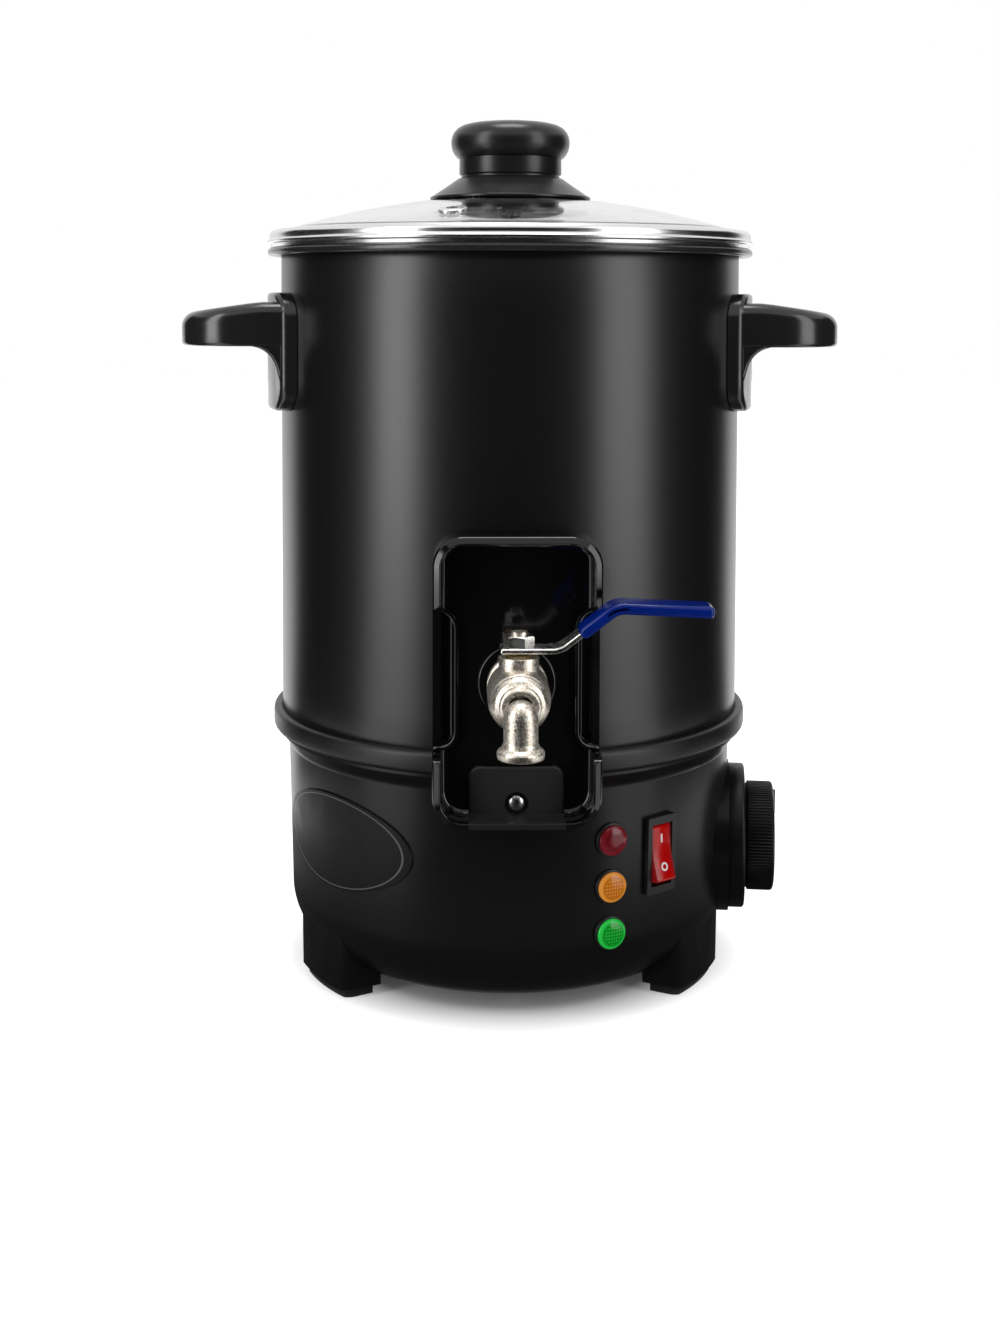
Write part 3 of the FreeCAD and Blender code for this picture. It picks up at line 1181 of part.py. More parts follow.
sleeve_back = S.pot_radius + S.press_gap + S.seal_sheet
tail_bore = S.tap_tail_radius + S.press_gap
node(face(tube("spacer_sleeve", S.tap_sleeve_radius, tail_bore, sleeve_back, flange_back), 0, tap_height))
inner_seal_front = root(pot_inner_radius * pot_inner_radius - S.seal_radius * S.seal_radius)
node(group("tap_seals",
           face(tube("inner_seal", S.seal_radius, tail_bore, inner_seal_front - S.seal_sheet, inner_seal_front),
                0, tap_height),
           face(tube("outer_seal", S.seal_radius - S.seat_gap, tail_bore, S.pot_radius + S.press_gap, sleeve_back),
                0, tap_height)))
lock_nut_front = inner_seal_front - S.seal_sheet
lock_nut_height = lock_nut_front - tail_end - S.tap_hole_gap
node(face(hex_nut("lock_nut", S.lock_nut_flats, tail_bore, lock_nut_height, lock_nut_front - lock_nut_height),
          0, tap_height))

seat_bore_ball = ball("seat_ball", S.ball_radius + S.moving_gap)
stand(seat_bore_ball, ZERO, stem_reach, tap_height)
seat_reach = S.ball_radius * 0.55
seat_rings = [face(tube(f"seat_ring_{n}", S.tap_cavity_radius - S.press_gap, S.tap_bore_radius, back, front),
                   0, tap_height)
              for n, (back, front) in enumerate(((cavity_back, stem_reach - seat_reach),
                                                 (stem_reach + seat_reach, cavity_front)))]
node(group("ball_seats", *(cut(f"ball_seat_{n}", ring, seat_bore_ball) for n, ring in enumerate(seat_rings))))

packing_top = packing_floor + S.packing_height
node(stand(tube("stem_packing", S.packing_radius - S.press_gap, S.stem_radius + S.running_gap, packing_floor,
                packing_top), ZERO, stem_reach))
gland_top = bonnet_top + S.gland_head
gland_thread = tube("gland_thread", S.packing_radius - S.press_gap, S.stem_radius + S.running_gap, packing_top,
                    bonnet_top)
gland_head = hex_nut("gland_head", S.gland_flats, S.stem_radius + S.running_gap, S.gland_head, bonnet_top)
node(fuse("gland_nut", stand(gland_thread, ZERO, stem_reach), stand(gland_head, ZERO, stem_reach)))

collar_front = chamber_front + S.spout_collar_sheet
mouth = tap_height - S.spout_drop
spout_axial = tap_spun("spout_axial",
                       (ZERO, cavity_front), (S.tap_cavity_radius - S.press_gap, cavity_front),
                       (S.tap_cavity_radius - S.press_gap, chamber_front), (S.spout_collar_radius, chamber_front),
                       (S.spout_collar_radius, collar_front), (S.spout_elbow_radius, spout_reach - S.spout_radius * 0.3),
                       (ZERO, spout_reach - S.spout_radius * 0.3))
elbow_height = tap_height - S.spout_elbow_radius + S.spout_radius
elbow = stand(ball("spout_elbow", S.spout_elbow_radius), ZERO, spout_reach, elbow_height)
spout_tube = stand(spun("spout_tube",
                        (ZERO, mouth), (S.spout_flare_radius, mouth),
                        (S.spout_flare_radius, mouth + S.spout_flare_height, S.spout_flare_height * 0.3),
                        (S.spout_radius, mouth + S.spout_flare_height * 1.5), (S.spout_radius, elbow_height),
                        (ZERO, elbow_height)), ZERO, spout_reach)
spout_bore = stand(spun("spout_bore", (ZERO, mouth - 1), (S.tap_bore_radius, mouth - 1),
                        (S.tap_bore_radius, elbow_height), (ZERO, elbow_height)), ZERO, spout_reach)
node(cut("spout", fuse("spout_solid", spout_axial, elbow, spout_tube),
         tap_rod("spout_cross_bore", S.tap_bore_radius, cavity_front - 1, spout_reach), spout_bore))

# ---- lever, its vinyl grip and nut, the stem and the ball ----

slot_floor = S.ball_radius - S.ball_slot_depth
ball_blank = stand(ball("ball_blank", S.ball_radius), ZERO, stem_reach, tap_height)
ball_bore = prism("ball_bore", S.ball_radius * 4, circles=((ZERO, ZERO, S.tap_bore_radius),),
                  start=-S.ball_radius * 2, plane="YZ_Plane")
ball_slot = prism("ball_slot", S.ball_radius, rectangle(S.ball_radius * 2, S.ball_slot_width), start=slot_floor)
node(cut("valve_ball", ball_blank, stand(ball_bore, ZERO, stem_reach, tap_height),
         stand(ball_slot, ZERO, stem_reach, tap_height)))

strip_bottom = gland_top + S.moving_gap
strip_top = strip_bottom + S.lever_sheet
stem_top = strip_top + S.lever_nut_height + S.stem_tip
stem_shaft = stem_rod("stem_shaft", S.stem_radius, tap_height + S.ball_radius + S.press_gap, stem_top)
tang = stand(prism("stem_tang", S.ball_slot_depth * 1.5,
                   rectangle(S.stem_radius * 1.8, S.ball_slot_width - S.press_gap * 2),
                   start=slot_floor + S.press_gap), ZERO, stem_reach, tap_height)
node(fuse("valve_stem", stem_shaft, tang))
node(stand(hex_nut("lever_nut", S.nut_flats, S.stem_radius + S.press_gap, S.lever_nut_height, strip_top),
           ZERO, stem_reach))


def direction(start, end):
    """Unit vector between two points of sizes."""
    x, y = end[0] - start[0], end[1] - start[1]
    length = root(x * x + y * y)
    return x / length, y / length


def strip_outline(path, bends, thickness):
    """Outline of a bent strip of even thickness along a path; each inner point has a bend radius."""
    sides = ([], [])
    for i, point in enumerate(path):
        before = direction(path[i - 1], point) if i else None
        after = direction(point, path[i + 1]) if i + 1 < len(path) else None
        first, last = before or after, after or before
        normal_x, normal_y = -(first[1] + last[1]), first[0] + last[0]
        spread = 1 + (first[0] * last[0] + first[1] * last[1])
        for side, sign in zip(sides, (-1, 1)):
            shift = sign * thickness / 2 / spread
            corner = (point[0] + normal_x * shift, point[1] + normal_y * shift)
            if before and after:
                turns_left = (first[0] * last[1] - first[1] * last[0]).value > 0
                inner = turns_left == (sign > 0)
                corner += (bends[i - 1] if inner else bends[i - 1] + thickness,)
            side.append(corner)
    return (*sides[0], *reversed(sides[1]))


crank_foot = (S.lever_flat, ZERO + 0)
crank_top = (S.lever_flat + S.lever_run, S.lever_rise)
strip_end = (S.lever_reach, S.lever_rise - S.lever_droop)
strip_path = ((-S.lever_heel, ZERO + 0), crank_foot, crank_top, strip_end)
strip_height = strip_bottom + S.lever_sheet / 2
strip_side = prism("lever_side", S.lever_width, strip_outline(strip_path, (S.lever_bend, S.lever_bend), S.lever_sheet),
                   start=-S.lever_width / 2, plane="XZ_Plane")
strip_plan = prism("lever_plan", S.lever_rise * 3,
                   ((-S.lever_heel, -S.lever_width / 2, S.lever_width * 0.45),
                    (S.lever_reach + 1, -S.lever_width / 2, S.lever_width * 0.3),
                    (S.lever_reach + 1, S.lever_width / 2, S.lever_width * 0.3),
                    (-S.lever_heel, S.lever_width / 2, S.lever_width * 0.45)),
                   circles=((ZERO, ZERO, S.stem_radius + S.press_gap),), start=-S.lever_rise)
node(stand(common("lever", strip_side, strip_plan), ZERO, stem_reach, strip_height))
grip_foot = (crank_foot[0] + S.lever_run * S.grip_start, S.lever_rise * S.grip_start)
grip_end = (strip_end[0] + S.grip_skin * 2, strip_end[1] - S.lever_droop * 0.1)
grip_thickness = S.lever_sheet + S.grip_skin * 2
grip_width = S.lever_width + S.grip_skin * 2
grip_block = prism("grip_block", grip_width,
                   strip_outline((grip_foot, crank_top, grip_end), (S.lever_bend - S.grip_skin,), grip_thickness),
                   start=-grip_width / 2, plane="XZ_Plane")
rounded_edges(grip_block, S.grip_round, lambda edge: edge.BoundBox.YLength < 0.01)
pocket_side = prism("grip_pocket_side", S.lever_width + S.press_gap * 2,
                    strip_outline(strip_path, (S.lever_bend - S.press_gap, S.lever_bend - S.press_gap),
                                  S.lever_sheet + S.press_gap * 2),
                    start=-S.lever_width / 2 - S.press_gap, plane="XZ_Plane")
node(stand(cut("lever_grip", grip_block, pocket_side), ZERO, stem_reach, strip_height))

# ---- indicator lamps ----

lamp_rings, lamp_blades = [], []
for n, (colour, height) in enumerate(zip(("red", "amber", "green"), lamp_heights)):
    place = (S.lamp_azimuth, height, wall_radius(height), base_lean)
    bore = S.lamp_body_radius - 0.8
    lens_top = S.lamp_bezel_sheet + S.lamp_lens_rise
    node(face(spun(f"lamp_lens_{colour}",
                   (ZERO, -S.lamp_body_length / 2), (bore - S.press_gap, -S.lamp_body_length / 2),
                   (bore - S.press_gap, S.lamp_bezel_sheet), (S.lamp_lens_radius, S.lamp_bezel_sheet),
                   (S.lamp_lens_radius, S.lamp_bezel_sheet + S.lamp_lens_rise * 0.4),
                   crown(S.lamp_lens_radius, S.lamp_lens_rise * 0.6), (ZERO, lens_top)), *place))
    lamp_rings.append(face(spun(f"lamp_holder_{colour}",
                                (ZERO, -S.lamp_body_length), (S.lamp_body_radius, -S.lamp_body_length),
                                (S.lamp_body_radius, ZERO), (S.lamp_bezel_radius, ZERO),
                                (S.lamp_bezel_radius, S.lamp_bezel_sheet, S.lamp_bezel_sheet * 0.4),
                                (bore, S.lamp_bezel_sheet), (bore, -S.lamp_body_length / 2),
                                (ZERO, -S.lamp_body_length / 2)), *place))
    for side in (-1, 1):
        lamp_blades.append(face(prism(f"lamp_blade_{colour}_{'left' if side < 0 else 'right'}", S.lamp_blade_length,
                                      rectangle(S.lamp_bezel_sheet / 2, S.lamp_body_radius * 0.8,
                                                x=side * S.lamp_body_radius * 0.5),
                                      start=-S.lamp_body_length - S.lamp_blade_length), *place))
node(group("lamp_holders", *lamp_rings))
node(group("lamp_terminals", *lamp_blades))

# ---- rocker switch ----

switch_place = (S.switch_azimuth, S.switch_height, wall_radius(S.switch_height), base_lean)
switch_frame = prism("switch_frame", S.switch_bezel_sheet,
                     rectangle(S.switch_bezel_width, S.switch_bezel_height, S.switch_bezel_sheet * 0.4))
switch_case = prism("switch_case", S.switch_body_depth,
                    rectangle(S.switch_body_width, S.switch_body_height), start=-S.switch_body_depth)
switch_well = prism("switch_well", S.switch_well_depth + S.switch_bezel_sheet + 1,
                    rectangle(S.switch_well_width, S.switch_well_height), start=-S.switch_well_depth)
pivot_hole = prism("switch_pivot_hole", S.switch_body_width,
                   circles=((ZERO, -S.rocker_pivot_depth, S.rocker_pivot_radius + S.running_gap),),
                   start=-S.switch_body_width / 2, plane="YZ_Plane")
node(face(cut("switch_housing", fuse("switch_whole", switch_frame, switch_case), switch_well, pivot_hole),
          *switch_place))
node(face(group("switch_terminals", *(prism(f"switch_terminal_{n}", S.lamp_blade_length,
                                            rectangle(S.lamp_body_radius, S.lamp_bezel_sheet * 0.7,
                                                      y=row * S.switch_body_height * 0.3),
                                            start=-S.switch_body_depth - S.lamp_blade_length)
                                      for n, row in enumerate((-1, 0, 1)))), *switch_place))
rocker_half_width = S.switch_well_width / 2 - S.moving_gap
rocker_block = prism("rocker_block", rocker_half_width * 2,
                     ((S.rocker_half, -S.rocker_back * 0.4), (S.rocker_half, S.rocker_face),
                      (ZERO + 0, S.rocker_face - S.rocker_dish), (-S.rocker_half, S.rocker_face),
                      (-S.rocker_half, -S.rocker_back * 0.4), (ZERO + 0, -S.rocker_back)),
                     start=-rocker_half_width, plane="YZ_Plane")
pivot_reach = S.switch_body_width / 2 - S.press_gap
rocker_pivot = prism("rocker_pivot", pivot_reach * 2, circles=((ZERO, ZERO, S.rocker_pivot_radius),),
                     start=-pivot_reach, plane="YZ_Plane")
rocker = fuse("switch_rocker", rocker_block, rocker_pivot)
pivot_radius = wall_radius(S.switch_height) - S.rocker_pivot_depth * cosine(base_lean)
pivot_height = S.switch_height + S.rocker_pivot_depth * sine(base_lean)
node(face(rocker, S.switch_azimuth, pivot_height, pivot_radius, base_lean - S.rocker_tilt))

# ---- temperature dial and thermostat ----

dial_place = (S.dial_azimuth, S.dial_height)
bezel_front = S.dial_boss_reach + S.dial_bezel_sheet
nut_well_radius = S.dial_nut_flats * 0.68
bushing_clear = S.dial_bushing_radius + S.seat_gap
nut_well_front = S.dial_boss_reach + S.dial_nut_sheet + S.seat_gap
node(face(spun("dial_bezel",
               (nut_well_radius, S.dial_boss_reach), (S.dial_bezel_radius, S.dial_boss_reach),
               (S.dial_bezel_radius, bezel_front, S.dial_bezel_sheet * 0.2), (bushing_clear, bezel_front),
               (bushing_clear, nut_well_front), (nut_well_radius, nut_well_front)), *dial_place))
node(face(hex_nut("thermostat_nut", S.dial_nut_flats, S.dial_bushing_radius + S.press_gap, S.dial_nut_sheet,
                  S.dial_boss_reach), *dial_place))
thermostat_back = dial_inner_face - S.thermostat_depth
case = prism("thermostat_case", S.thermostat_depth, rectangle(S.thermostat_width, S.thermostat_width,
                                                               S.base_wall), start=thermostat_back)
bushing = prism("thermostat_bushing", bezel_front - dial_inner_face - S.seat_gap,
                circles=((ZERO, ZERO, S.dial_bushing_radius),), start=dial_inner_face)
spindle_back = dial_inner_face - S.thermostat_depth / 3
spindle_hole = prism("thermostat_bore", S.thermostat_depth * 2,
                     circles=((ZERO, ZERO, S.dial_spindle_radius + S.running_gap),), start=spindle_back)
node(face(cut("thermostat_body", fuse("thermostat_solid", case, bushing), spindle_hole), *dial_place))
knob_back = bezel_front + S.moving_gap
knob_front = knob_back + S.dial_knob_height
spindle_front = knob_back + S.dial_knob_height * 0.7
node(face(prism("thermostat_spindle", spindle_front - spindle_back - S.moving_gap,
                circles=((ZERO, ZERO, S.dial_spindle_radius),), start=spindle_back + S.moving_gap), *dial_place))
knob_shell = S.dial_knob_radius - S.dial_rib_radius / 2
knob = spun("dial_knob_turned",
            (S.dial_spindle_radius + S.press_gap, knob_back), (knob_shell, knob_back),
            (knob_shell, knob_front - S.dial_knob_height * 0.08, S.dial_knob_height * 0.12),
            (knob_shell * 0.85, knob_front - S.dial_knob_height * 0.03),
            crown(knob_shell * 0.85, S.dial_knob_height * 0.03),
            (ZERO, knob_front), (ZERO, spindle_front + S.press_gap),
            (S.dial_spindle_radius + S.press_gap, spindle_front + S.press_gap))
rib_sketch = new_sketch(knob, "XY_Plane", "rib_outline", knob_back)
ring_line(rib_sketch, knob_shell - S.dial_rib_radius * 0.2, ZERO, S.dial_rib_radius)
rib = knob.newObject("PartDesign::Pad", "rib")
rib.Profile = rib_sketch
bind(rib, "Length", S.dial_knob_height * 0.75)
ribs = knob.newObject("PartDesign::PolarPattern", "ribs")
ribs.Originals = [rib]
ribs.Axis = (rib_sketch, ["N_Axis"])
ribs.Angle = 360
ribs.Occurrences = DIAL_RIB_COUNT
knob.Tip = ribs
pointer = prism("dial_pointer", S.dial_pointer_rise + S.dial_knob_height / 4,
                rectangle(S.dial_pointer_width, knob_shell / 2, S.dial_pointer_width * 0.3, y=knob_shell * 0.65),
                start=knob_front - S.dial_knob_height / 4)
node(face(fuse("dial_knob", knob, pointer), *dial_place))

probe_height = heater_underside - S.probe_radius
probe_bulb = stand(prism("probe_bulb", S.probe_half * 2, circles=((S.probe_offset, ZERO, S.probe_radius),),
                         start=-S.probe_half, plane="XZ_Plane"), S.dial_azimuth, ZERO, probe_height)
capillary = new_body("capillary")
spine = new_sketch(capillary, "YZ_Plane", "capillary_path", S.probe_offset)
outline(spine, (-S.probe_half + 1, probe_height), (-capillary_reach, probe_height, S.capillary_bend),
        (-capillary_reach, S.dial_height, S.capillary_bend), (-thermostat_back, S.dial_height),
        closed=False)
section = new_sketch(capillary, "XZ_Plane", "capillary_section", S.probe_half - 1)
ring_line(section, S.probe_offset, probe_height, S.capillary_radius)
pipe = capillary.newObject("PartDesign::AdditivePipe", "capillary_pipe")
pipe.Profile = section
document.recompute()
pipe.Spine = (spine, [f"Edge{n + 1}" for n in range(len(spine.Shape.Edges))])
stand(capillary, S.dial_azimuth)
node(fuse("thermostat_probe", probe_bulb, capillary))

# ---- oval plate on the base ----

plate_low, plate_high = S.plate_height - S.plate_half_height * 1.2, S.plate_height + S.plate_half_height * 1.2
plate_skin = spun("oval_skin",
                  (wall_radius(plate_low), plate_low), (wall_radius(plate_low) + S.plate_sheet, plate_low),
                  (wall_radius(plate_high) + S.plate_sheet, plate_high), (wall_radius(plate_high), plate_high))
oval = document.addObject("Part::Ellipse", "oval_edge")
bind(oval, "MajorRadius", S.plate_half_width)
bind(oval, "MinorRadius", S.plate_half_height)
face(oval, S.plate_azimuth, S.plate_height)
oval_prism = document.addObject("Part::Extrusion", "oval_prism")
oval_prism.Base = oval
oval_prism.DirMode = "Normal"
oval_prism.Solid = True
oval_prism.Reversed = True
bind(oval_prism, "LengthFwd", S.base_shoulder_radius * 1.2)
node(common("oval_plate", plate_skin, oval_prism))

# ---- mains inlet ----

inlet_place = (180, S.inlet_height)
inlet_back = S.inlet_boss_reach - S.inlet_body_depth
inlet_mouth = S.inlet_boss_reach + S.inlet_flange_sheet
pin_holes = tuple((side * S.inlet_screw_pitch / 2, ZERO, S.inlet_screw_radius + S.press_gap) for side in (-1, 1))
inlet_flange = prism("inlet_flange", S.inlet_flange_sheet,
                     rectangle(S.inlet_flange_width, S.inlet_flange_height, S.inlet_flange_sheet),
                     circles=pin_holes, start=S.inlet_boss_reach)
inlet_case = prism("inlet_case", S.inlet_body_depth, rectangle(S.inlet_body_width, S.inlet_body_height),
                   start=inlet_back)
inlet_well = prism("inlet_well", S.inlet_well_depth + 1,
                   rectangle(S.inlet_well_width, S.inlet_well_height, S.inlet_flange_sheet),
                   start=inlet_mouth - S.inlet_well_depth)
pin_rows = ((-1, -1), (0, 1), (1, -1))
pin_places = [(column * S.inlet_pin_pitch / 2, row * S.inlet_pin_height / 2) for column, row in pin_rows]
pin_slots = [prism(f"inlet_pin_slot_{n}", S.inlet_body_depth,
                   rectangle(S.inlet_pin_width + S.press_gap * 2, S.inlet_pin_height + S.press_gap * 2, x=x, y=y),
                   start=inlet_back - 1) for n, (x, y) in enumerate(pin_places)]
node(face(cut("power_inlet", fuse("inlet_whole", inlet_flange, inlet_case), inlet_well, *pin_slots), *inlet_place))
pin_length = inlet_mouth - S.inlet_pin_short - inlet_back + S.inlet_pin_tail
node(face(group("inlet_pins", *(prism(f"inlet_pin_{n}", pin_length,
                                      rectangle(S.inlet_pin_width, S.inlet_pin_height, x=x, y=y),
                                      start=inlet_back - S.inlet_pin_tail)
                                for n, (x, y) in enumerate(pin_places))), *inlet_place))
inlet_screws = []
for n, side in enumerate((-1, 1)):
    screw = pan_screw(f"inlet_screw_{n}", S.inlet_screw_radius, S.inlet_screw_length)
    screw.setExpression("Placement", place_expression(
        side * S.inlet_screw_pitch / 2, inlet_mouth, S.inlet_height, ((0, 0, 1), 180), ((1, 0, 0), 90)))
    inlet_screws.append(screw)
node(group("inlet_screws", *inlet_screws))

# ---- check everything, then write one file for each piece ----

document.recompute()
failed = [f"{thing.Name} {thing.State} {thing.getStatusString()}" for thing in document.Objects
          if any(word in state for state in thing.State for word in ("Invalid", "Error"))]
if failed:
    raise RuntimeError("failed: " + "; ".join(failed))
for piece in NODES:
    if piece.Shape.isNull() or not piece.Shape.isValid() or not piece.Shape.Solids:
        raise RuntimeError(f"{piece.Label} has no valid solid")
os.makedirs(PARTS_FOLDER, exist_ok=True)
for piece in NODES:
    piece.Shape.exportStep(f"{PARTS_FOLDER}/{piece.Label}.step")
    box = piece.Shape.BoundBox
    print(f"{piece.Label:20} solids {len(piece.Shape.Solids):2}  volume {piece.Shape.Volume / 1000:9.2f} cm3  "
          f"x {box.XMin:7.1f} {box.XMax:7.1f}  y {box.YMin:7.1f} {box.YMax:7.1f}  z {box.ZMin:7.1f} {box.ZMax:7.1f}")
print(f"{len(NODES)} pieces")
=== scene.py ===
import math

import bmesh
import bpy
from mathutils import Matrix, Vector


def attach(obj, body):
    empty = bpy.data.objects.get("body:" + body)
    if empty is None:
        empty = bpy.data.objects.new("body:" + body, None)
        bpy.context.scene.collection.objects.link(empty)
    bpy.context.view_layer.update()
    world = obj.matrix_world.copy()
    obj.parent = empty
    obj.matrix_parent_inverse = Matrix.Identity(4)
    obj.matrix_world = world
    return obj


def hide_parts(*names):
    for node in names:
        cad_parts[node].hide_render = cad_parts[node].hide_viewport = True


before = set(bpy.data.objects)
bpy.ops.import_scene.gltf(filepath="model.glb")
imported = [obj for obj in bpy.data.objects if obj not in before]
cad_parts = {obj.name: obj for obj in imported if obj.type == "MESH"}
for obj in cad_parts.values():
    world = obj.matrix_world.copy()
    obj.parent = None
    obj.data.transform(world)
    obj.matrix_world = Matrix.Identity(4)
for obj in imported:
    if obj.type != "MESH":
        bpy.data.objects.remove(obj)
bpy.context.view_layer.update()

# ---- base ----
# A deep bowl moulded in one piece with its four legs from black polypropylene, satin outside. The lamps,
# switch, dial and mains inlet sit in holes in its wall; a slotted cover and rubber pads go on from below.

MM = 0.001
NOISE_LOW, NOISE_HIGH = 0.3, 0.7  # nearly all of a noise pattern lies between these


def new_finish(name, **values):
    """A material named for its finish. Each value goes on the shader's own socket."""
    made = bpy.data.materials.new(name)
    made.use_nodes = True
    shader = made.node_tree.nodes["Principled BSDF"]
    for socket, value in values.items():
        shader.inputs[socket.replace("_", " ")].default_value = value
    return made


def cloud(finish, size, detail=2.0, stretch=(1, 1, 1)):
    """Noise with features about size mm across, in the piece's own coordinates."""
    nodes, links = finish.node_tree.nodes, finish.node_tree.links
    place = nodes.new("ShaderNodeTexCoord")
    scale = nodes.new("ShaderNodeMapping")
    scale.inputs["Scale"].default_value = stretch
    noise = nodes.new("ShaderNodeTexNoise")
    noise.inputs["Scale"].default_value = 1 / (size * MM)
    noise.inputs["Detail"].default_value = detail
    links.new(place.outputs["Object"], scale.inputs["Vector"])
    links.new(scale.outputs["Vector"], noise.inputs["Vector"])
    return noise.outputs["Fac"]


def ramp(value, start, end, low, high):
    """A value that goes from low to high while another goes from start to end."""
    step = value.id_data.nodes.new("ShaderNodeMapRange")
    for socket, number in (("From Min", start), ("From Max", end), ("To Min", low), ("To Max", high)):
        step.inputs[socket].default_value = number
    value.id_data.links.new(value, step.inputs["Value"])
    return step.outputs["Result"]


def feed(finish, socket, value):
    """Links a value or a colour to a socket of the shader."""
    finish.node_tree.links.new(value, finish.node_tree.nodes["Principled BSDF"].inputs[socket])


def vary_roughness(finish, size, low, high, **grain):
    """Roughness that wanders between low and high over patches about size mm across."""
    feed(finish, "Roughness", ramp(cloud(finish, size, **grain), NOISE_LOW, NOISE_HIGH, low, high))


def vary_colour(finish, size, first, second, **grain):
    """Colour that wanders between two shades over patches about size mm across."""
    shades = finish.node_tree.nodes.new("ShaderNodeValToRGB")
    for stop, position, shade in zip(shades.color_ramp.elements, (NOISE_LOW, NOISE_HIGH), (first, second)):
        stop.position, stop.color = position, (*shade, 1)
    finish.node_tree.links.new(cloud(finish, size, **grain), shades.inputs["Fac"])
    feed(finish, "Base Color", shades.outputs["Color"])


def add_relief(finish, size, depth, **grain):
    """Relief depth mm high and about size mm across, on top of any relief already there."""
    links = finish.node_tree.links
    normal = finish.node_tree.nodes["Principled BSDF"].inputs["Normal"]
    bump = finish.node_tree.nodes.new("ShaderNodeBump")
    bump.inputs["Distance"].default_value = depth * MM
    if normal.is_linked:
        links.new(normal.links[0].from_socket, bump.inputs["Normal"])
    links.new(cloud(finish, size, **grain), bump.inputs["Height"])
    links.new(bump.outputs["Normal"], normal)


def dress(finish, *nodes):
    """Gives CAD nodes a finish."""
    for node in nodes:
        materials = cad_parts[node].data.materials
        if not materials:
            materials.append(finish)
        for slot in range(len(materials)):
            materials[slot] = finish


base_plastic = new_finish("satin_base_plastic", Base_Color=(0.005, 0.005, 0.0053, 1),
                          Specular_IOR_Level=0.23)
vary_roughness(base_plastic, 25, 0.28, 0.31)
add_relief(base_plastic, 0.5, 0.006, detail=1)
dress(base_plastic, "base_housing", "bottom_cover")

foot_rubber = new_finish("foot_rubber", Specular_IOR_Level=0.3)
vary_colour(foot_rubber, 3, (0.012, 0.012, 0.012), (0.02, 0.02, 0.019))
vary_roughness(foot_rubber, 2, 0.7, 0.85)
add_relief(foot_rubber, 0.6, 0.02)
dress(foot_rubber, "foot_pads")

# ---- seam ring ----
# A moulded ring that hides the joint between base and jacket. It rests on the rim of the base, holds the
# jacket in its groove and stands proud of both, with rounded edges.

RING_FOOT, RING_TOP, RING_RADIUS, RING_ROUND = 103.5, 112.7, 103.8, 2.2
RING_BORE, GROOVE_RADIUS, GROOVE_FOOT = 87, 100.05, 105
SAME_PLACE, MERGED = 1e-3, 0.002  # mm


def alone(piece=None):
    """Leaves edit mode and selects only this piece, or nothing."""
    if bpy.context.object and bpy.context.object.mode == "EDIT":
        bpy.ops.object.mode_set(mode="OBJECT")
    bpy.ops.object.select_all(action="DESELECT")
    if piece:
        piece.select_set(True)
        bpy.context.view_layer.objects.active = piece


def opened(piece):
    """Selects only this piece and goes into edit mode."""
    alone(piece)
    bpy.ops.object.mode_set(mode="EDIT")


def pick(piece, kind, wanted):
    """In edit mode, selects only the verts, edges or faces whose middle, in mm, passes a test."""
    bpy.ops.mesh.select_mode(type={"verts": "VERT", "edges": "EDGE", "faces": "FACE"}[kind])
    bpy.ops.mesh.select_all(action="DESELECT")
    mesh = bmesh.from_edit_mesh(piece.data)
    for part in getattr(mesh, kind):
        if kind == "verts":
            middle = part.co
        elif kind == "edges":
            middle = (part.verts[0].co + part.verts[1].co) / 2
        else:
            middle = part.calc_center_median()
        part.select_set(bool(wanted(middle / MM, part)))
    mesh.select_flush(True)
    bmesh.update_edit_mesh(piece.data)


def drawn(name, outline, closed=False, upright=True):
    """A line drawn corner by corner, (across, along[, rounding]) in mm, standing in XZ or lying in XY."""
    alone()
    bpy.ops.mesh.primitive_plane_add(size=MM)
    piece = bpy.context.object
    piece.name = name
    bpy.ops.object.mode_set(mode="EDIT")
    bpy.ops.mesh.select_mode(type="VERT")
    bpy.ops.mesh.select_all(action="SELECT")
    bpy.ops.mesh.merge(type="CENTER")
    corners = [Vector((across, 0, along) if upright else (across, along, 0))
               for across, along, *_ in outline]
    bpy.ops.transform.translate(value=corners[0] * MM)
    for before, after in zip(corners, corners[1:]):
        bpy.ops.mesh.extrude_vertices_move(TRANSFORM_OT_translate={"value": (after - before) * MM})
    if closed:
        ends = corners[0], corners[-1]
        pick(piece, "verts", lambda at, part: min((at - end).length for end in ends) < SAME_PLACE)
        bpy.ops.mesh.edge_face_add()
    for place, corner in enumerate(outline):
        if len(corner) > 2:
            here = corners[place]
            before, after = corners[place - 1] - here, corners[(place + 1) % len(corners)] - here
            cut = corner[2] / math.tan(before.angle(after) / 2)
            steps = max(2, round(corner[2] ** 0.5 * 3))
            pick(piece, "verts", lambda at, part: (at - here).length < SAME_PLACE)
            bpy.ops.mesh.bevel(offset=cut * MM, segments=steps, affect="VERTICES", clamp_overlap=False)
    bpy.ops.mesh.select_all(action="SELECT")
    return piece


def finished(piece, finish=None, smooth=35):
    """Merges what touches, faces everything outwards, smooths the shading and puts the finish on."""
    opened(piece)
    bpy.ops.mesh.select_all(action="SELECT")
    bpy.ops.mesh.remove_doubles(threshold=MERGED * MM)
    bpy.ops.mesh.normals_make_consistent(inside=False)
    if bmesh.from_edit_mesh(piece.data).calc_volume(signed=True) < 0:
        bpy.ops.mesh.flip_normals()
    alone(piece)
    bpy.ops.object.shade_smooth_by_angle(angle=math.radians(smooth))
    if finish:
        piece.data.materials.clear()
        piece.data.materials.append(finish)
    return piece


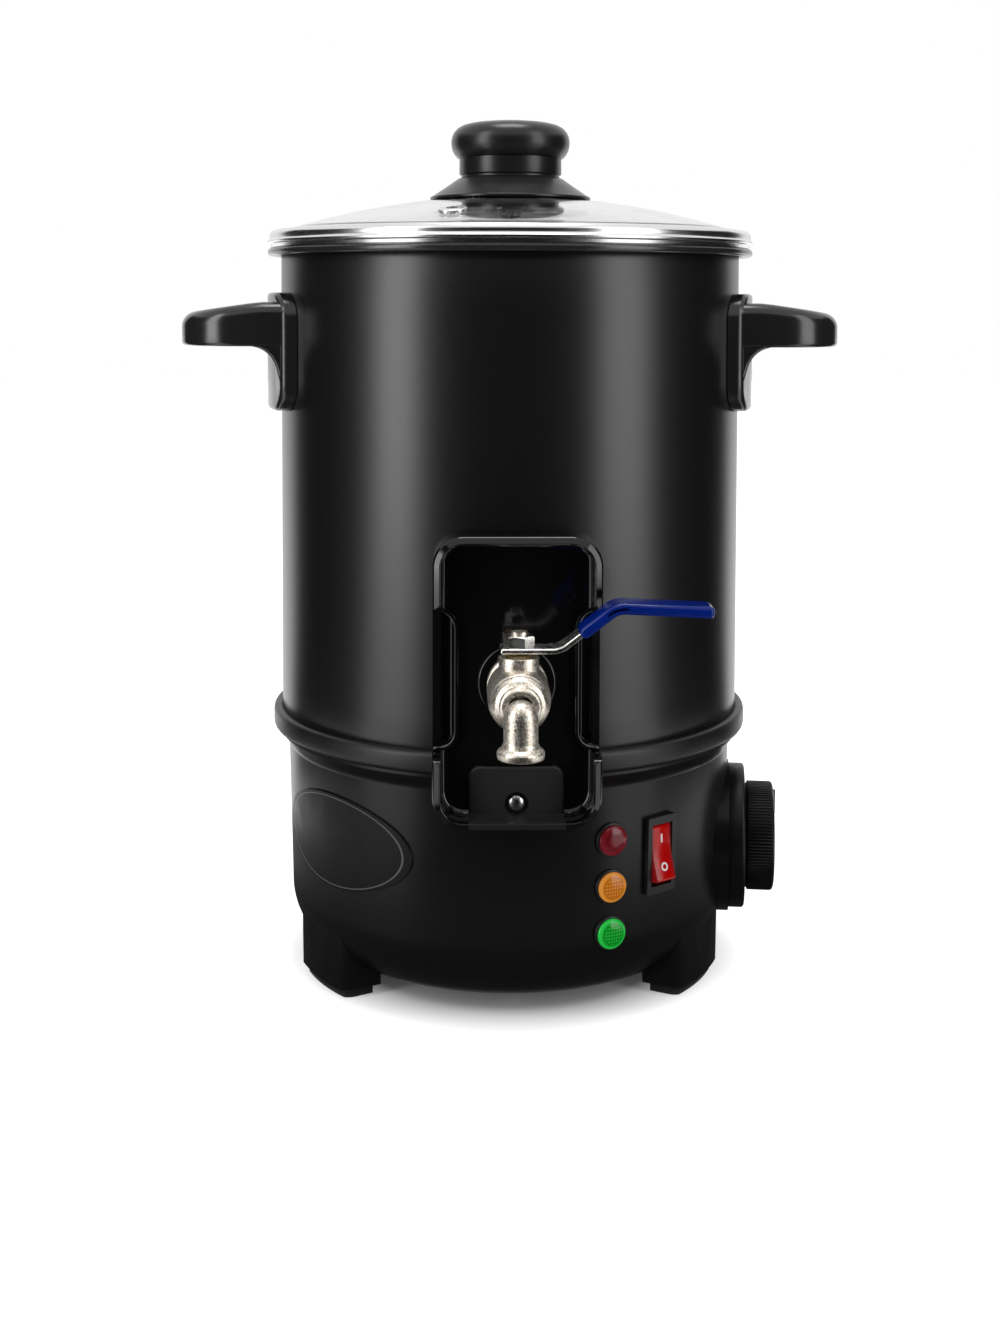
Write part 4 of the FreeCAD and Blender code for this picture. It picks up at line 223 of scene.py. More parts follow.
def turned(name, outline, finish=None, steps=128, closed=False, smooth=35):
    """Turns an outline with corners (radius, height[, rounding]) in mm round the upright axis."""
    piece = drawn(name, outline, closed)
    bpy.ops.mesh.spin(steps=steps, angle=math.tau, center=(0, 0, 0), axis=(0, 0, 1))
    return finished(piece, finish, smooth)


ring_plastic = new_finish("gloss_ring_plastic", Base_Color=(0.006, 0.006, 0.0063, 1),
                          Specular_IOR_Level=0.35)
vary_roughness(ring_plastic, 12, 0.36, 0.42)
add_relief(ring_plastic, 1.5, 0.002)
seam_ring = turned("seam_band", [
    (RING_BORE, RING_FOOT), (RING_RADIUS, RING_FOOT, RING_ROUND), (RING_RADIUS, RING_TOP, RING_ROUND),
    (GROOVE_RADIUS, RING_TOP, 0.3), (GROOVE_RADIUS, GROOVE_FOOT), (RING_BORE, GROOVE_FOOT)],
    ring_plastic, steps=192, closed=True)
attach(seam_ring, "housing")
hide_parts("seam_ring")

# ---- jacket ----
# A tube of thin steel sheet round the pot, powder-coated in fine matt black. It stands in the seam ring
# and its upper edge disappears under the rolled rim of the pot.

JACKET_RADIUS, JACKET_WALL, JACKET_FOOT, JACKET_TOP, JACKET_ROWS = 100, 0.8, 105, 310, 20

powder_coat = new_finish("black_powder_coat", Base_Color=(0.005, 0.005, 0.0053, 1), Specular_IOR_Level=0.5)
vary_roughness(powder_coat, 1.5, 0.285, 0.315, detail=3)
add_relief(powder_coat, 0.35, 0.006, detail=2)
add_relief(powder_coat, 5, 0.006, detail=1)
jacket = turned("jacket_shell", [
    (JACKET_RADIUS - JACKET_WALL, JACKET_FOOT), (JACKET_RADIUS, JACKET_FOOT, 0.3),
    *((JACKET_RADIUS, height) for height in range(JACKET_FOOT + JACKET_ROWS, JACKET_TOP - JACKET_ROWS,
                                                JACKET_ROWS)),
    (JACKET_RADIUS, JACKET_TOP, 0.3), (JACKET_RADIUS - JACKET_WALL, JACKET_TOP)],
    powder_coat, steps=256, closed=True)
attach(jacket, "housing")
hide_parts("outer_jacket")

# ---- handles ----
# Two heat-proof phenolic mouldings, each a saddle plate curved to the jacket with a D-shaped bar, held by
# two screws from inside the jacket.

PLATE_BACK, PLATE_FACE, PLATE_WIDTH, PLATE_FOOT, PLATE_TOP, PLATE_ROUND = 100.3, 106.0, 90.0, 242.0, 292.0, 12
BAR_ROOT, BAR_REACH, BAR_HALF, BAR_THICK, BAR_BEND = 94, 141.0, 44.0, 12.5, 26
BAR_FOOT, BAR_ROOT_TOP, BAR_END_TOP, ARM_STEPS, BEND_STEPS = 269.5, 288.0, 283.0, 4, 14


def shift(x, y, z):
    """In edit mode, moves what is selected, in mm."""
    bpy.ops.transform.translate(value=(x * MM, y * MM, z * MM))


def extrude(x, y, z):
    """In edit mode, draws out what is selected, in mm."""
    bpy.ops.mesh.extrude_region_move(TRANSFORM_OT_translate={"value": (x * MM, y * MM, z * MM)})


def placed(piece, location=(0, 0, 0), rotation=(0, 0, 0)):
    """Turns a piece by angles in radians and moves it by a distance in mm, and keeps it there."""
    alone(piece)
    piece.rotation_euler = rotation
    piece.location = [distance * MM for distance in location]
    bpy.ops.object.transform_apply(location=True, rotation=True, scale=True)
    return piece


def slab(name, outline, foot, top):
    """A block of even height with the outline (x, y[, rounding]) in mm."""
    piece = drawn(name, outline, closed=True, upright=False)
    shift(0, 0, foot)
    bpy.ops.mesh.edge_face_add()
    extrude(0, 0, top - foot)
    return finished(piece)


def oblong(name, low, high, rounding, foot, top):
    """A block between two corners (x, y) in mm, with its upright edges rounded."""
    return slab(name, [(low[0], low[1], rounding), (high[0], low[1], rounding),
                       (high[0], high[1], rounding), (low[0], high[1], rounding)], foot, top)


def profiled(name, outline, half):
    """A block half mm to each side of the middle, with the side outline (y, z[, rounding]) in mm."""
    piece = drawn(name, outline, closed=True)
    bpy.ops.mesh.edge_face_add()
    shift(0, -half, 0)
    extrude(0, half * 2, 0)
    return finished(placed(piece, rotation=(0, 0, math.pi / 2)))


def outward(piece, azimuth=0, height=0, reach=0, lean=0):
    """Stands a piece drawn on its back against the body, Z outwards and Y up. Azimuth 0 is the front."""
    side = math.radians(azimuth)
    turn = Matrix.Rotation(side, 3, "Z") @ Matrix.Rotation(math.radians(90 + lean), 3, "X")
    return placed(piece, (math.sin(side) * reach, -math.cos(side) * reach, height), turn.to_euler())


def worked(piece, kind, **settings):
    """Puts a modifier on a piece and applies it."""
    alone(piece)
    bpy.ops.object.modifier_add(type=kind)
    step = piece.modifiers[-1]
    for setting, value in settings.items():
        setattr(step, setting, value)
    bpy.ops.object.modifier_apply(modifier=step.name)
    return piece


def carved(piece, tool, operation="DIFFERENCE"):
    """Cuts a tool out of a piece, or joins the two (UNION), or keeps what they share (INTERSECT)."""
    worked(piece, "BOOLEAN", operation=operation, object=tool, solver="EXACT")
    bpy.data.objects.remove(tool)
    return piece


def eased(piece, width, segments, wanted, sharp=25):
    """Rounds the edges that are sharper than so many degrees and pass a test."""
    opened(piece)
    least = math.radians(sharp)
    pick(piece, "edges", lambda at, part: part.calc_face_angle(0) > least and wanted(at, part))
    bpy.ops.mesh.bevel(offset=width * MM, segments=segments, clamp_overlap=False)
    return piece


def draped(piece, step, flat_from=1e6, flat_to=2e6):
    """Bends a flat piece round the body: its Z becomes a radius, or stays a plain depth past flat_to."""
    opened(finished(piece))
    widest = max(abs(corner.co.x) for corner in piece.data.vertices) / MM
    for line in range(-int(widest / step), int(widest / step) + 1):
        bpy.ops.mesh.select_all(action="SELECT")
        bpy.ops.mesh.bisect(plane_co=(line * step * MM, 0, 0), plane_no=(1, 0, 0))
    alone()
    for corner in piece.data.vertices:
        across, reach = corner.co.x, corner.co.z
        share = min(1, max(0, (flat_to - reach / MM) / (flat_to - flat_from)))
        share = share * share * (3 - 2 * share)
        corner.co.z = reach + share * (math.sqrt(reach * reach - across * across) - reach)
    return piece


handle_plastic = new_finish("handle_phenolic", Base_Color=(0.013, 0.013, 0.013, 1),
                            Specular_IOR_Level=0.5)
vary_roughness(handle_plastic, 14, 0.18, 0.23)
add_relief(handle_plastic, 1.1, 0.005)

corner_middle = BAR_REACH - BAR_BEND
handle = drawn("right_side_handle", [
    (-BAR_HALF, BAR_FOOT, 1.6), (-BAR_HALF, BAR_ROOT_TOP, 5.4), (BAR_THICK - BAR_HALF, BAR_ROOT_TOP, 4.0),
    (BAR_THICK - BAR_HALF, BAR_FOOT, 1.6)], closed=True)
bpy.ops.mesh.edge_face_add()
shift(0, -BAR_ROOT, 0)
for step in range(ARM_STEPS):
    extrude(0, (BAR_ROOT - corner_middle) / ARM_STEPS, 0)
for middle in (BAR_BEND - BAR_HALF, BAR_HALF - BAR_BEND):
    bpy.ops.mesh.spin(steps=BEND_STEPS, angle=-math.pi / 2, center=(middle * MM, -corner_middle * MM, 0),
                      axis=(0, 0, 1))
    if middle < 0:
        extrude(-middle * 2, 0, 0)
for step in range(ARM_STEPS):
    extrude(0, (corner_middle - BAR_ROOT) / ARM_STEPS, 0)
opened(finished(handle))
fall = (BAR_ROOT_TOP - BAR_END_TOP) / (BAR_REACH - PLATE_FACE)
for reach in sorted({round(-corner.co.y / MM, 1) for corner in handle.data.vertices}):
    if reach > PLATE_FACE:
        pick(handle, "verts", lambda at, part: round(-at.y, 1) == reach and at.z > BAR_FOOT + 6)
        shift(0, 0, (PLATE_FACE - reach) * fall)
finished(handle)
for end in (-1, 1):
    gusset = profiled("gusset", [
        (-90, BAR_FOOT + 2), (-111, BAR_FOOT + 2), (-109.5, BAR_FOOT + 0.1), (-106.4, BAR_FOOT - 0.5),
        (-103.4, BAR_FOOT - 1.9), (-100.9, BAR_FOOT - 4.2), (-99.1, BAR_FOOT - 7.4),
        (-97.9, BAR_FOOT - 11.6), (-96.5, BAR_FOOT - 17), (-90, BAR_FOOT - 17)], BAR_THICK / 2 - 0.7)
    eased(gusset, 1.2, 3, lambda at, part: (
        abs(at.x) > BAR_THICK / 2 - 0.8 and at.y > -110 and at.z < BAR_FOOT + 1.9))
    placed(gusset, (end * (BAR_HALF - BAR_THICK / 2), 0, 0))
    carved(handle, finished(gusset), "UNION")
placed(handle, rotation=(0, 0, math.pi / 2))
hollow = turned("hollow", [(0, 200), (PLATE_FACE - 2, 200), (PLATE_FACE - 2, 320), (0, 320)], steps=240)
carved(handle, hollow)
plate = oblong("plate", (-PLATE_WIDTH / 2, PLATE_FOOT), (PLATE_WIDTH / 2, PLATE_TOP), PLATE_ROUND,
               PLATE_BACK, PLATE_FACE)
eased(plate, 1.8, 4, lambda at, part: at.z > PLATE_FACE - 0.1)
draped(plate, 3)
outward(plate, azimuth=90)
carved(handle, finished(plate), "UNION")
finished(handle, handle_plastic, smooth=32)
alone(handle)
bpy.ops.object.duplicate()
other_handle = placed(bpy.context.object, rotation=(0, 0, math.pi))
other_handle.name = "left_side_handle"
for piece, node in ((handle, "right_handle"), (other_handle, "left_handle")):
    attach(piece, "housing")
    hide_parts(node)

# ---- pot ----
# A deep-drawn aluminium pot with a dark non-stick coating inside and a gloss black rolled rim that hooks
# over the jacket.

pot_coating = new_finish("pot_coating", Specular_IOR_Level=0.5)
vary_colour(pot_coating, 0.8, (0.012, 0.012, 0.013), (0.02, 0.02, 0.021), detail=3)
vary_roughness(pot_coating, 1.2, 0.16, 0.24, detail=2)
add_relief(pot_coating, 0.9, 0.003, detail=2)
dress(pot_coating, "inner_pot")

# ---- lid ----
# A disc of clear domed glass crimped into a bright stainless rim over a silicone gasket. A flared phenolic
# foot and a mushroom knob are screwed on through the middle, and a steel eyelet lets steam out.

LID_SEAT, LID_TOP = 311.2, 319.0
GLASS_RADIUS, GLASS_THICKNESS, GLASS_HOLE, GLASS_EDGE, GLASS_EDGE_TOP = 323.0, 4.0, 2.7, 102.6, 317.6
GLASS_CENTRE = GLASS_EDGE_TOP - math.sqrt(GLASS_RADIUS ** 2 - GLASS_EDGE ** 2)


def glass_height(radius, depth=0.0):
    """Height of the dome at a distance from the axis, depth mm inside its upper face."""
    return GLASS_CENTRE + math.sqrt((GLASS_RADIUS - depth) ** 2 - radius ** 2)


rim_chrome = new_finish("polished_rim_steel", Base_Color=(0.72, 0.72, 0.72, 1), Metallic=1.0)
vary_roughness(rim_chrome, 30, 0.20, 0.26, detail=1)
add_relief(rim_chrome, 2.5, 0.0012, stretch=(1, 1, 6))
lid_rim = turned("lid_band", [
    (90.4, 303.2), (91.2, 303.2), (91.2, LID_SEAT, 0.4), (104.6, LID_SEAT, 0.3),
    (104.8, LID_SEAT + 1.5, 0.3), (105.8, LID_SEAT + 2.0, 0.3), (106.0, LID_SEAT + 2.9, 0.4),
    (105.3, LID_SEAT + 3.5, 0.3), (105.1, LID_SEAT + 4.2, 0.5), (105.2, LID_TOP - 2.0, 1.8),
    (103.9, LID_TOP - 0.4, 1.4), (101.6, LID_TOP, 0.5), (101.0, LID_TOP - 0.6, 0.2),
    (101.3, LID_TOP - 1.1), (104.0, LID_TOP - 1.6), (104.0, LID_SEAT + 0.9), (90.4, LID_SEAT + 0.8)],
    rim_chrome, steps=192, closed=True)
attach(lid_rim, "lid")
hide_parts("lid_rim")

lid_glass_clear = new_finish("lid_glass", Base_Color=(0.945, 0.95, 0.945, 1), Transmission_Weight=1.0,
                             IOR=1.5)
vary_roughness(lid_glass_clear, 40, 0.0, 0.03)
add_relief(lid_glass_clear, 30, 0.01, detail=0)
glass_steps = [GLASS_EDGE * n / 12 for n in range(1, 12)]
lid_glass = turned("glass_dome", [
    *((r, glass_height(r, GLASS_THICKNESS)) for r in (GLASS_HOLE, *glass_steps)),
    (GLASS_EDGE, glass_height(GLASS_EDGE, GLASS_THICKNESS), 0.8), (GLASS_EDGE, GLASS_EDGE_TOP, 0.8),
    *((r, glass_height(r)) for r in (*reversed(glass_steps), GLASS_HOLE))], lid_glass_clear, closed=True)
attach(lid_glass, "lid")
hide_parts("lid_glass")

clear_silicone = new_finish("clear_silicone", Base_Color=(0.62, 0.62, 0.60, 1), Subsurface_Weight=0.1)
vary_roughness(clear_silicone, 3, 0.4, 0.55)
add_relief(clear_silicone, 1.5, 0.01)
dress(clear_silicone, "lid_gasket", "tap_seals")

bright_steel = new_finish("bright_steel", Base_Color=(0.66, 0.66, 0.65, 1), Metallic=1.0)
vary_roughness(bright_steel, 1.5, 0.18, 0.3)
add_relief(bright_steel, 0.4, 0.004)
dress(bright_steel, "steam_eyelet", "knob_screw", "knob_washer", "cover_screws", "base_screws",
      "guard_screw", "handle_screws", "inlet_screws", "stud_nuts", "thermostat_nut")

knob_plastic = new_finish("knob_phenolic", Base_Color=(0.011, 0.011, 0.011, 1), Specular_IOR_Level=0.36)
vary_roughness(knob_plastic, 14, 0.27, 0.31)
add_relief(knob_plastic, 1.2, 0.004)
KNOB_FOOT, KNOB_NECK, KNOB_UNDER, KNOB_TOP = 332.5, 343.4, 351.0, 367.4
knob_foot = turned("knob_flare", [
    (5.2, KNOB_FOOT + 1.4), (24, KNOB_FOOT + 1.2), (33.6, KNOB_FOOT), (35.2, KNOB_FOOT + 0.3, 0.5),
    (35.2, KNOB_FOOT + 1.5, 0.5), (34.0, KNOB_FOOT + 2.0, 0.8), (28.6, KNOB_NECK - 5.3),
    (24.2, KNOB_NECK - 2.2), (22.9, KNOB_NECK - 1.3, 0.5), (21.5, KNOB_NECK - 0.8, 0.2),
    (21.5, KNOB_NECK + 0.1, 0.2), (22.4, KNOB_NECK + 0.5, 0.3), (22.4, KNOB_UNDER - 0.1),
    (5.2, KNOB_UNDER - 0.1)], knob_plastic, closed=True)
knob = turned("knob_cap", [
    (0, KNOB_UNDER), (22.5, KNOB_UNDER), (23.2, KNOB_UNDER + 0.1, 0.4), (24.6, KNOB_UNDER + 1.7),
    (25.5, KNOB_UNDER + 3.6), (25.9, KNOB_UNDER + 5.6), (26.0, KNOB_UNDER + 7.2), (25.7, KNOB_UNDER + 9.2),
    (24.9, KNOB_UNDER + 11.1), (23.4, KNOB_UNDER + 12.9), (21.0, KNOB_UNDER + 14.3),
    (17.5, KNOB_UNDER + 15.2), (12.5, KNOB_TOP - 0.6), (6.5, KNOB_TOP - 0.2), (0, KNOB_TOP)],
    knob_plastic, smooth=50)
for piece, node in ((knob_foot, "lid_knob_foot"), (knob, "lid_knob")):
    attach(piece, "lid")
    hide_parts(node)

# ---- tap guard ----
# A gloss black hood moulded in ABS round the tap, with a slanting front lip, a beaded finger scoop in each
# side wall and a raised satin pad at its foot, where one screw holds it to the base.

GUARD_HALF, GUARD_FOOT, GUARD_TOP, GUARD_ROUND, GUARD_WALL = 32.5, 87.0, 200.0, 12.0, 3.2
GUARD_BACK, GUARD_FLOOR, GUARD_FRONT, LIP_FALL, OPEN_AIR = 84, 106.5, 118.0, 1.75, 130
SCOOP_IN, SCOOP_FOOT, SCOOP_TOP, SCOOP_ROUND, BEAD = 22.5, 115.0, 171.0, 8, 1.8
PAD_HALF, PAD_TOP, PAD_CORNER, COLLAR_RADIUS, TAP_HEIGHT, TAP_HOLE = 18.5, 109.5, 2.8, 15.2, 142.0, 12.1
GUARD_SCREW_HEIGHT, SCREW_HOLE, COUNTERBORE, COUNTERBORE_FLOOR = 95.0, 1.7, 4.7, 105.3


def mirrored(piece):
    """Adds the same shape on the other side of the middle."""
    return finished(worked(piece, "MIRROR"))


def inside_edge(at):
    """Distance in mm from the outline of the hood, inwards."""
    across = abs(at.x) - (GUARD_HALF - GUARD_ROUND)
    along = abs(at.y - (GUARD_FOOT + GUARD_TOP) / 2) - ((GUARD_TOP - GUARD_FOOT) / 2 - GUARD_ROUND)
    return GUARD_ROUND - math.hypot(max(across, 0), max(along, 0)) - min(max(across, along), 0)


hood = oblong("tap_hood", (-GUARD_HALF, GUARD_FOOT), (GUARD_HALF, GUARD_TOP), GUARD_ROUND, GUARD_BACK,
              GUARD_FRONT - LIP_FALL)
opened(hood)
pick(hood, "faces", lambda at, part: at.z > GUARD_FRONT - LIP_FALL - 0.1)
bpy.ops.mesh.inset(thickness=(GUARD_WALL + 0.1) * MM, depth=LIP_FALL * MM)
finished(hood)
cavity = oblong("cavity", (GUARD_WALL - GUARD_HALF, GUARD_FOOT + GUARD_WALL),
                (GUARD_HALF - GUARD_WALL, GUARD_TOP - GUARD_WALL), GUARD_ROUND - GUARD_WALL,
                GUARD_FLOOR, OPEN_AIR)
eased(cavity, 3.2, 5, lambda at, part: at.z < GUARD_FLOOR + 0.1)
carved(hood, finished(cavity))
eased(hood, 0.9, 3, lambda at, part: at.z > GUARD_FRONT - LIP_FALL - 0.1 and inside_edge(at) < 1)
finished(hood)
eased(hood, 0.6, 3, lambda at, part: at.z > GUARD_FRONT - 0.4 and inside_edge(at) > 3.1)
finished(hood)
carved(hood, profiled("lip_cut", [
    (SCOOP_FOOT - 9, OPEN_AIR + 1), (SCOOP_FOOT - 9, GUARD_FRONT + 0.1),
    (SCOOP_FOOT, GUARD_FRONT + 0.1, 4.5), (SCOOP_FOOT, GUARD_FLOOR + 2.6), (SCOOP_TOP, GUARD_FLOOR + 2.6),
    (SCOOP_TOP, GUARD_FRONT + 0.1, 4.5), (SCOOP_TOP + 9, GUARD_FRONT + 0.1),
    (SCOOP_TOP + 9, OPEN_AIR + 1)], 40))
side_cut = oblong("side_cut", (SCOOP_IN, SCOOP_FOOT), (45, SCOOP_TOP), SCOOP_ROUND,
                  GUARD_FLOOR - 1, OPEN_AIR)
carved(hood, mirrored(side_cut))
scoop = oblong("scoop", (SCOOP_IN + BEAD, SCOOP_FOOT + BEAD), (GUARD_HALF - 3.3, SCOOP_TOP - BEAD), 2.3,
               GUARD_FLOOR - 3.6, OPEN_AIR)
eased(scoop, 1.2, 3, lambda at, part: at.z < GUARD_FLOOR - 3.5)
carved(hood, mirrored(scoop))
bead = slab("bead", [
    (SCOOP_IN, SCOOP_FOOT, SCOOP_ROUND), (GUARD_HALF - 0.1, SCOOP_FOOT), (GUARD_HALF - 0.1, SCOOP_TOP),
    (SCOOP_IN, SCOOP_TOP, SCOOP_ROUND)], 103.2, GUARD_FLOOR + 3)
bead_inside = slab("bead_inside", [
    (SCOOP_IN + BEAD, SCOOP_FOOT + BEAD, 6.3), (50, SCOOP_FOOT + BEAD), (50, SCOOP_TOP - BEAD),
    (SCOOP_IN + BEAD, SCOOP_TOP - BEAD, 6.3)], 100, 120)
carved(bead, bead_inside)
eased(bead, 0.65, 3, lambda at, part: at.z > GUARD_FLOOR + 2.9 and at.x < GUARD_HALF - 0.5)
carved(hood, mirrored(bead), "UNION")
pad = slab("pad", [(-PAD_HALF, GUARD_FOOT + 1.2), (PAD_HALF, GUARD_FOOT + 1.2), (PAD_HALF, PAD_TOP, 4.8),
                   (-PAD_HALF, PAD_TOP, 4.8)], 104, GUARD_FLOOR + 1.6)
eased(pad, 0.8, 3, lambda at, part: at.z > GUARD_FLOOR + 1.5 and at.y > GUARD_FOOT + 2)
carved(hood, finished(pad), "UNION")
collar = turned("collar", [
    (0, 104), (COLLAR_RADIUS, 104), (COLLAR_RADIUS, GUARD_FLOOR + 1.8, 0.9), (0, GUARD_FLOOR + 1.8)],
    steps=64)
carved(hood, placed(collar, (0, TAP_HEIGHT, 0)), "UNION")
draped(hood, 2.5, flat_from=109, flat_to=116)
outward(hood)
carved(finished(hood), turned("behind_hood", [
    (0, 60), (96.6, 60), (97.5, 97), (101.3, 101.7), (101.3, 103.2), (104.1, 103.2), (104.1, 113),
    (100.3, 113), (100.3, 240), (0, 240)], steps=256))
tap_hole = turned("tap_hole", [(0, 90), (TAP_HOLE, 90), (TAP_HOLE, 120), (0, 120)], steps=64)
carved(hood, outward(tap_hole, height=TAP_HEIGHT))
screw_hole = turned("screw_hole", [
    (0, 80), (SCREW_HOLE, 80), (SCREW_HOLE, COUNTERBORE_FLOOR), (COUNTERBORE, COUNTERBORE_FLOOR),
    (COUNTERBORE, 120), (0, 120)], steps=48)
carved(hood, outward(screw_hole, height=GUARD_SCREW_HEIGHT))


def calculated(kind, first, second=None):
    """A math node of a kind, worked on a socket and a second socket or number."""
    tree = first.id_data
    step = tree.nodes.new("ShaderNodeMath")
    step.operation = kind
    tree.links.new(first, step.inputs[0])
    if isinstance(second, (int, float)):
        step.inputs[1].default_value = second
    elif second:
        tree.links.new(second, step.inputs[1])
    return step.outputs["Value"]


def blended(share, first, second):
    """A colour between two."""
    mix = share.id_data.nodes.new("ShaderNodeMix")
    mix.data_type = "RGBA"
    share.id_data.links.new(share, mix.inputs["Factor"])
    mix.inputs[6].default_value, mix.inputs[7].default_value = (*first, 1), (*second, 1)
    return mix.outputs[2]


def across_and_up(finish, azimuth=0, height=0):
    """Places in mm across and up, from the middle of a face at an azimuth and height."""
    tree = finish.node_tree
    place = tree.nodes.new("ShaderNodeTexCoord")
    turn = tree.nodes.new("ShaderNodeMapping")
    turn.inputs["Rotation"].default_value = (0, 0, -math.radians(azimuth))
    turn.inputs["Scale"].default_value = (1 / MM, 1 / MM, 1 / MM)
    parts = tree.nodes.new("ShaderNodeSeparateXYZ")
    tree.links.new(place.outputs["Object"], turn.inputs["Vector"])
    tree.links.new(turn.outputs["Vector"], parts.inputs["Vector"])
    return parts.outputs["X"], calculated("SUBTRACT", parts.outputs["Z"], height)


GUARD_BLACK, PAD_BLACK, PAD_ROUGHNESS = (0.003, 0.003, 0.0033), (0.011, 0.011, 0.011), 0.5
guard_plastic = new_finish("gloss_guard_plastic", Specular_IOR_Level=0.4)
vary_roughness(guard_plastic, 14, 0.08, 0.14)
add_relief(guard_plastic, 6, 0.01, detail=1)
across, up = across_and_up(guard_plastic)
across = calculated("ABSOLUTE", across)
on_pad = calculated("MULTIPLY", calculated("LESS_THAN", across, PAD_HALF),
                    calculated("LESS_THAN", up, PAD_TOP))
off_corner = calculated("LESS_THAN", calculated("ADD", across, up), PAD_HALF + PAD_TOP - PAD_CORNER)
on_pad = calculated("MULTIPLY", on_pad, off_corner)
feed(guard_plastic, "Base Color", blended(on_pad, GUARD_BLACK, PAD_BLACK))
tree = guard_plastic.node_tree
sanded = tree.nodes.new("ShaderNodeMix")
tree.links.new(on_pad, sanded.inputs["Factor"])
tree.links.new(tree.nodes["Principled BSDF"].inputs["Roughness"].links[0].from_socket, sanded.inputs[2])
sanded.inputs[3].default_value = PAD_ROUGHNESS
feed(guard_plastic, "Roughness", sanded.outputs[0])
finished(hood, guard_plastic, smooth=32)
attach(hood, "housing")
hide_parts("tap_guard")

# ---- tap ----
# A nickel-plated brass ball valve: threaded tail, flange, ringed neck, ball chamber with its bonnet, and a
# spout screwed in and turned down, all with the sandy skin of the casting. A gland nut closes the bonnet.

STEM_REACH, SPOUT_REACH, SPOUT_FOOT, BORE, ELBOW_HEIGHT, ELBOW_RADIUS = 131.0, 152.5, 124.5, 4.8, 139.4, 6.3

tap_nickel = new_finish("plated_casting", Metallic=1.0)
vary_colour(tap_nickel, 0.7, (0.42, 0.33, 0.23), (0.90, 0.88, 0.82), detail=3)
vary_roughness(tap_nickel, 0.7, 0.28, 0.50, detail=2)
add_relief(tap_nickel, 0.6, 0.06, detail=2)
add_relief(tap_nickel, 2.2, 0.05, detail=1)

valve = outward(turned("valve_casting", [
    (BORE, 80.8), (8, 80.8, 0.4), (8, 108.6), (11.6, 108.6, 0.4), (11.6, 110.2, 0.6), (10.7, 110.9, 0.3),
    (11.7, 111.8, 0.5), (11.7, 113.2, 0.5), (10.3, 114.2, 0.4), (9.9, 116.2, 0.6), (10.9, 118.0, 0.6),
    (11.7, 120, 1.2), (11.7, 136.5, 2.5), (11.0, 141.6, 1.0), (10.3, 143, 0.3), (9.4, 143), (9.4, 122.5),
    (BORE, 122.5)], steps=96, closed=True), height=TAP_HEIGHT)
bonnet = turned("bonnet", [
    (3.3, 149.5), (7.6, 149.5), (7.6, 157.4, 0.6), (4.9, 157.4, 0.3), (4.9, 152.6), (3.3, 152.6)],
    steps=64, closed=True)
carved(valve, placed(bonnet, (0, -STEM_REACH, 0)), "UNION")

spout = turned("spout_casting", [
    (0, 140.5), (BORE, 140.5), (BORE, SPOUT_FOOT), (8.5, SPOUT_FOOT, 0.5), (8.75, 127.0, 0.8),
    (8.2, 127.8, 0.4), (6.9, 128.7, 0.8), (6.3, 130.4, 1.0), (ELBOW_RADIUS, ELBOW_HEIGHT),
    *((ELBOW_RADIUS * math.cos(math.radians(a)), ELBOW_HEIGHT + ELBOW_RADIUS * math.sin(math.radians(a)))
      for a in range(10, 90, 10)), (0, ELBOW_HEIGHT + ELBOW_RADIUS)], steps=64)
placed(spout, (0, -SPOUT_REACH, 0))
spout_root = turned("spout_root", [
    (BORE, 139.5), (9.3, 139.5), (9.3, 143.05), (10.6, 143.05, 0.3), (10.5, 144.4, 1.0), (9.2, 146.4, 1.6),
    (7.7, 147.2, 0.4), (7.6, 148.6, 0.6), (6.7, 149.2, 0.4), (6.2, 150.6), (BORE, 150.6)],
    steps=64, closed=True)
carved(spout, outward(spout_root, height=TAP_HEIGHT), "UNION")
for piece, node in ((valve, "valve_body"), (spout, "spout")):
    finished(piece, tap_nickel, smooth=40)
    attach(piece, "housing")
    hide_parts(node)
dress(tap_nickel, "spacer_sleeve", "lock_nut", "valve_ball", "valve_stem")

gland_brass = new_finish("gland_brass", Metallic=1.0)
vary_colour(gland_brass, 1.5, (0.50, 0.34, 0.15), (0.66, 0.52, 0.30))
vary_roughness(gland_brass, 1, 0.2, 0.3)
add_relief(gland_brass, 0.5, 0.01)
dress(gland_brass, "gland_nut")

seat_plastic = new_finish("seat_plastic", Base_Color=(0.8, 0.8, 0.78, 1))
vary_roughness(seat_plastic, 2, 0.35, 0.45)
add_relief(seat_plastic, 1, 0.005)
dress(seat_plastic, "ball_seats", "stem_packing")

# ---- lever ----
# A strip of polished plated steel, bent up past the bonnet and dipped in soft blue vinyl for a grip. It sits
# on the flats of the stem and is held there by a hexagon nut.

STRIP_HEIGHT, STRIP_SHEET, STRIP_WIDTH, GRIP_SHEET, GRIP_WIDTH = 160.0, 2.2, 12.0, 4.5, 14.2
NUT_ACROSS, NUT_TALL, NUT_TURN = 10, 4.2, 20


def strip(name, path, width, sheet, rounding, segments):
    """A strip bent along a path (x, z[, bend]) in mm, with rounded edges, on the axis of the stem."""
    piece = drawn(name, path)
    shift(0, -width / 2, 0)
    extrude(0, width, 0)
    finished(worked(finished(piece), "SOLIDIFY", thickness=sheet * MM, offset=0))
    eased(piece, rounding, segments, lambda at, part: True, sharp=60)
    return finished(placed(piece, (0, -STEM_REACH, 0)))


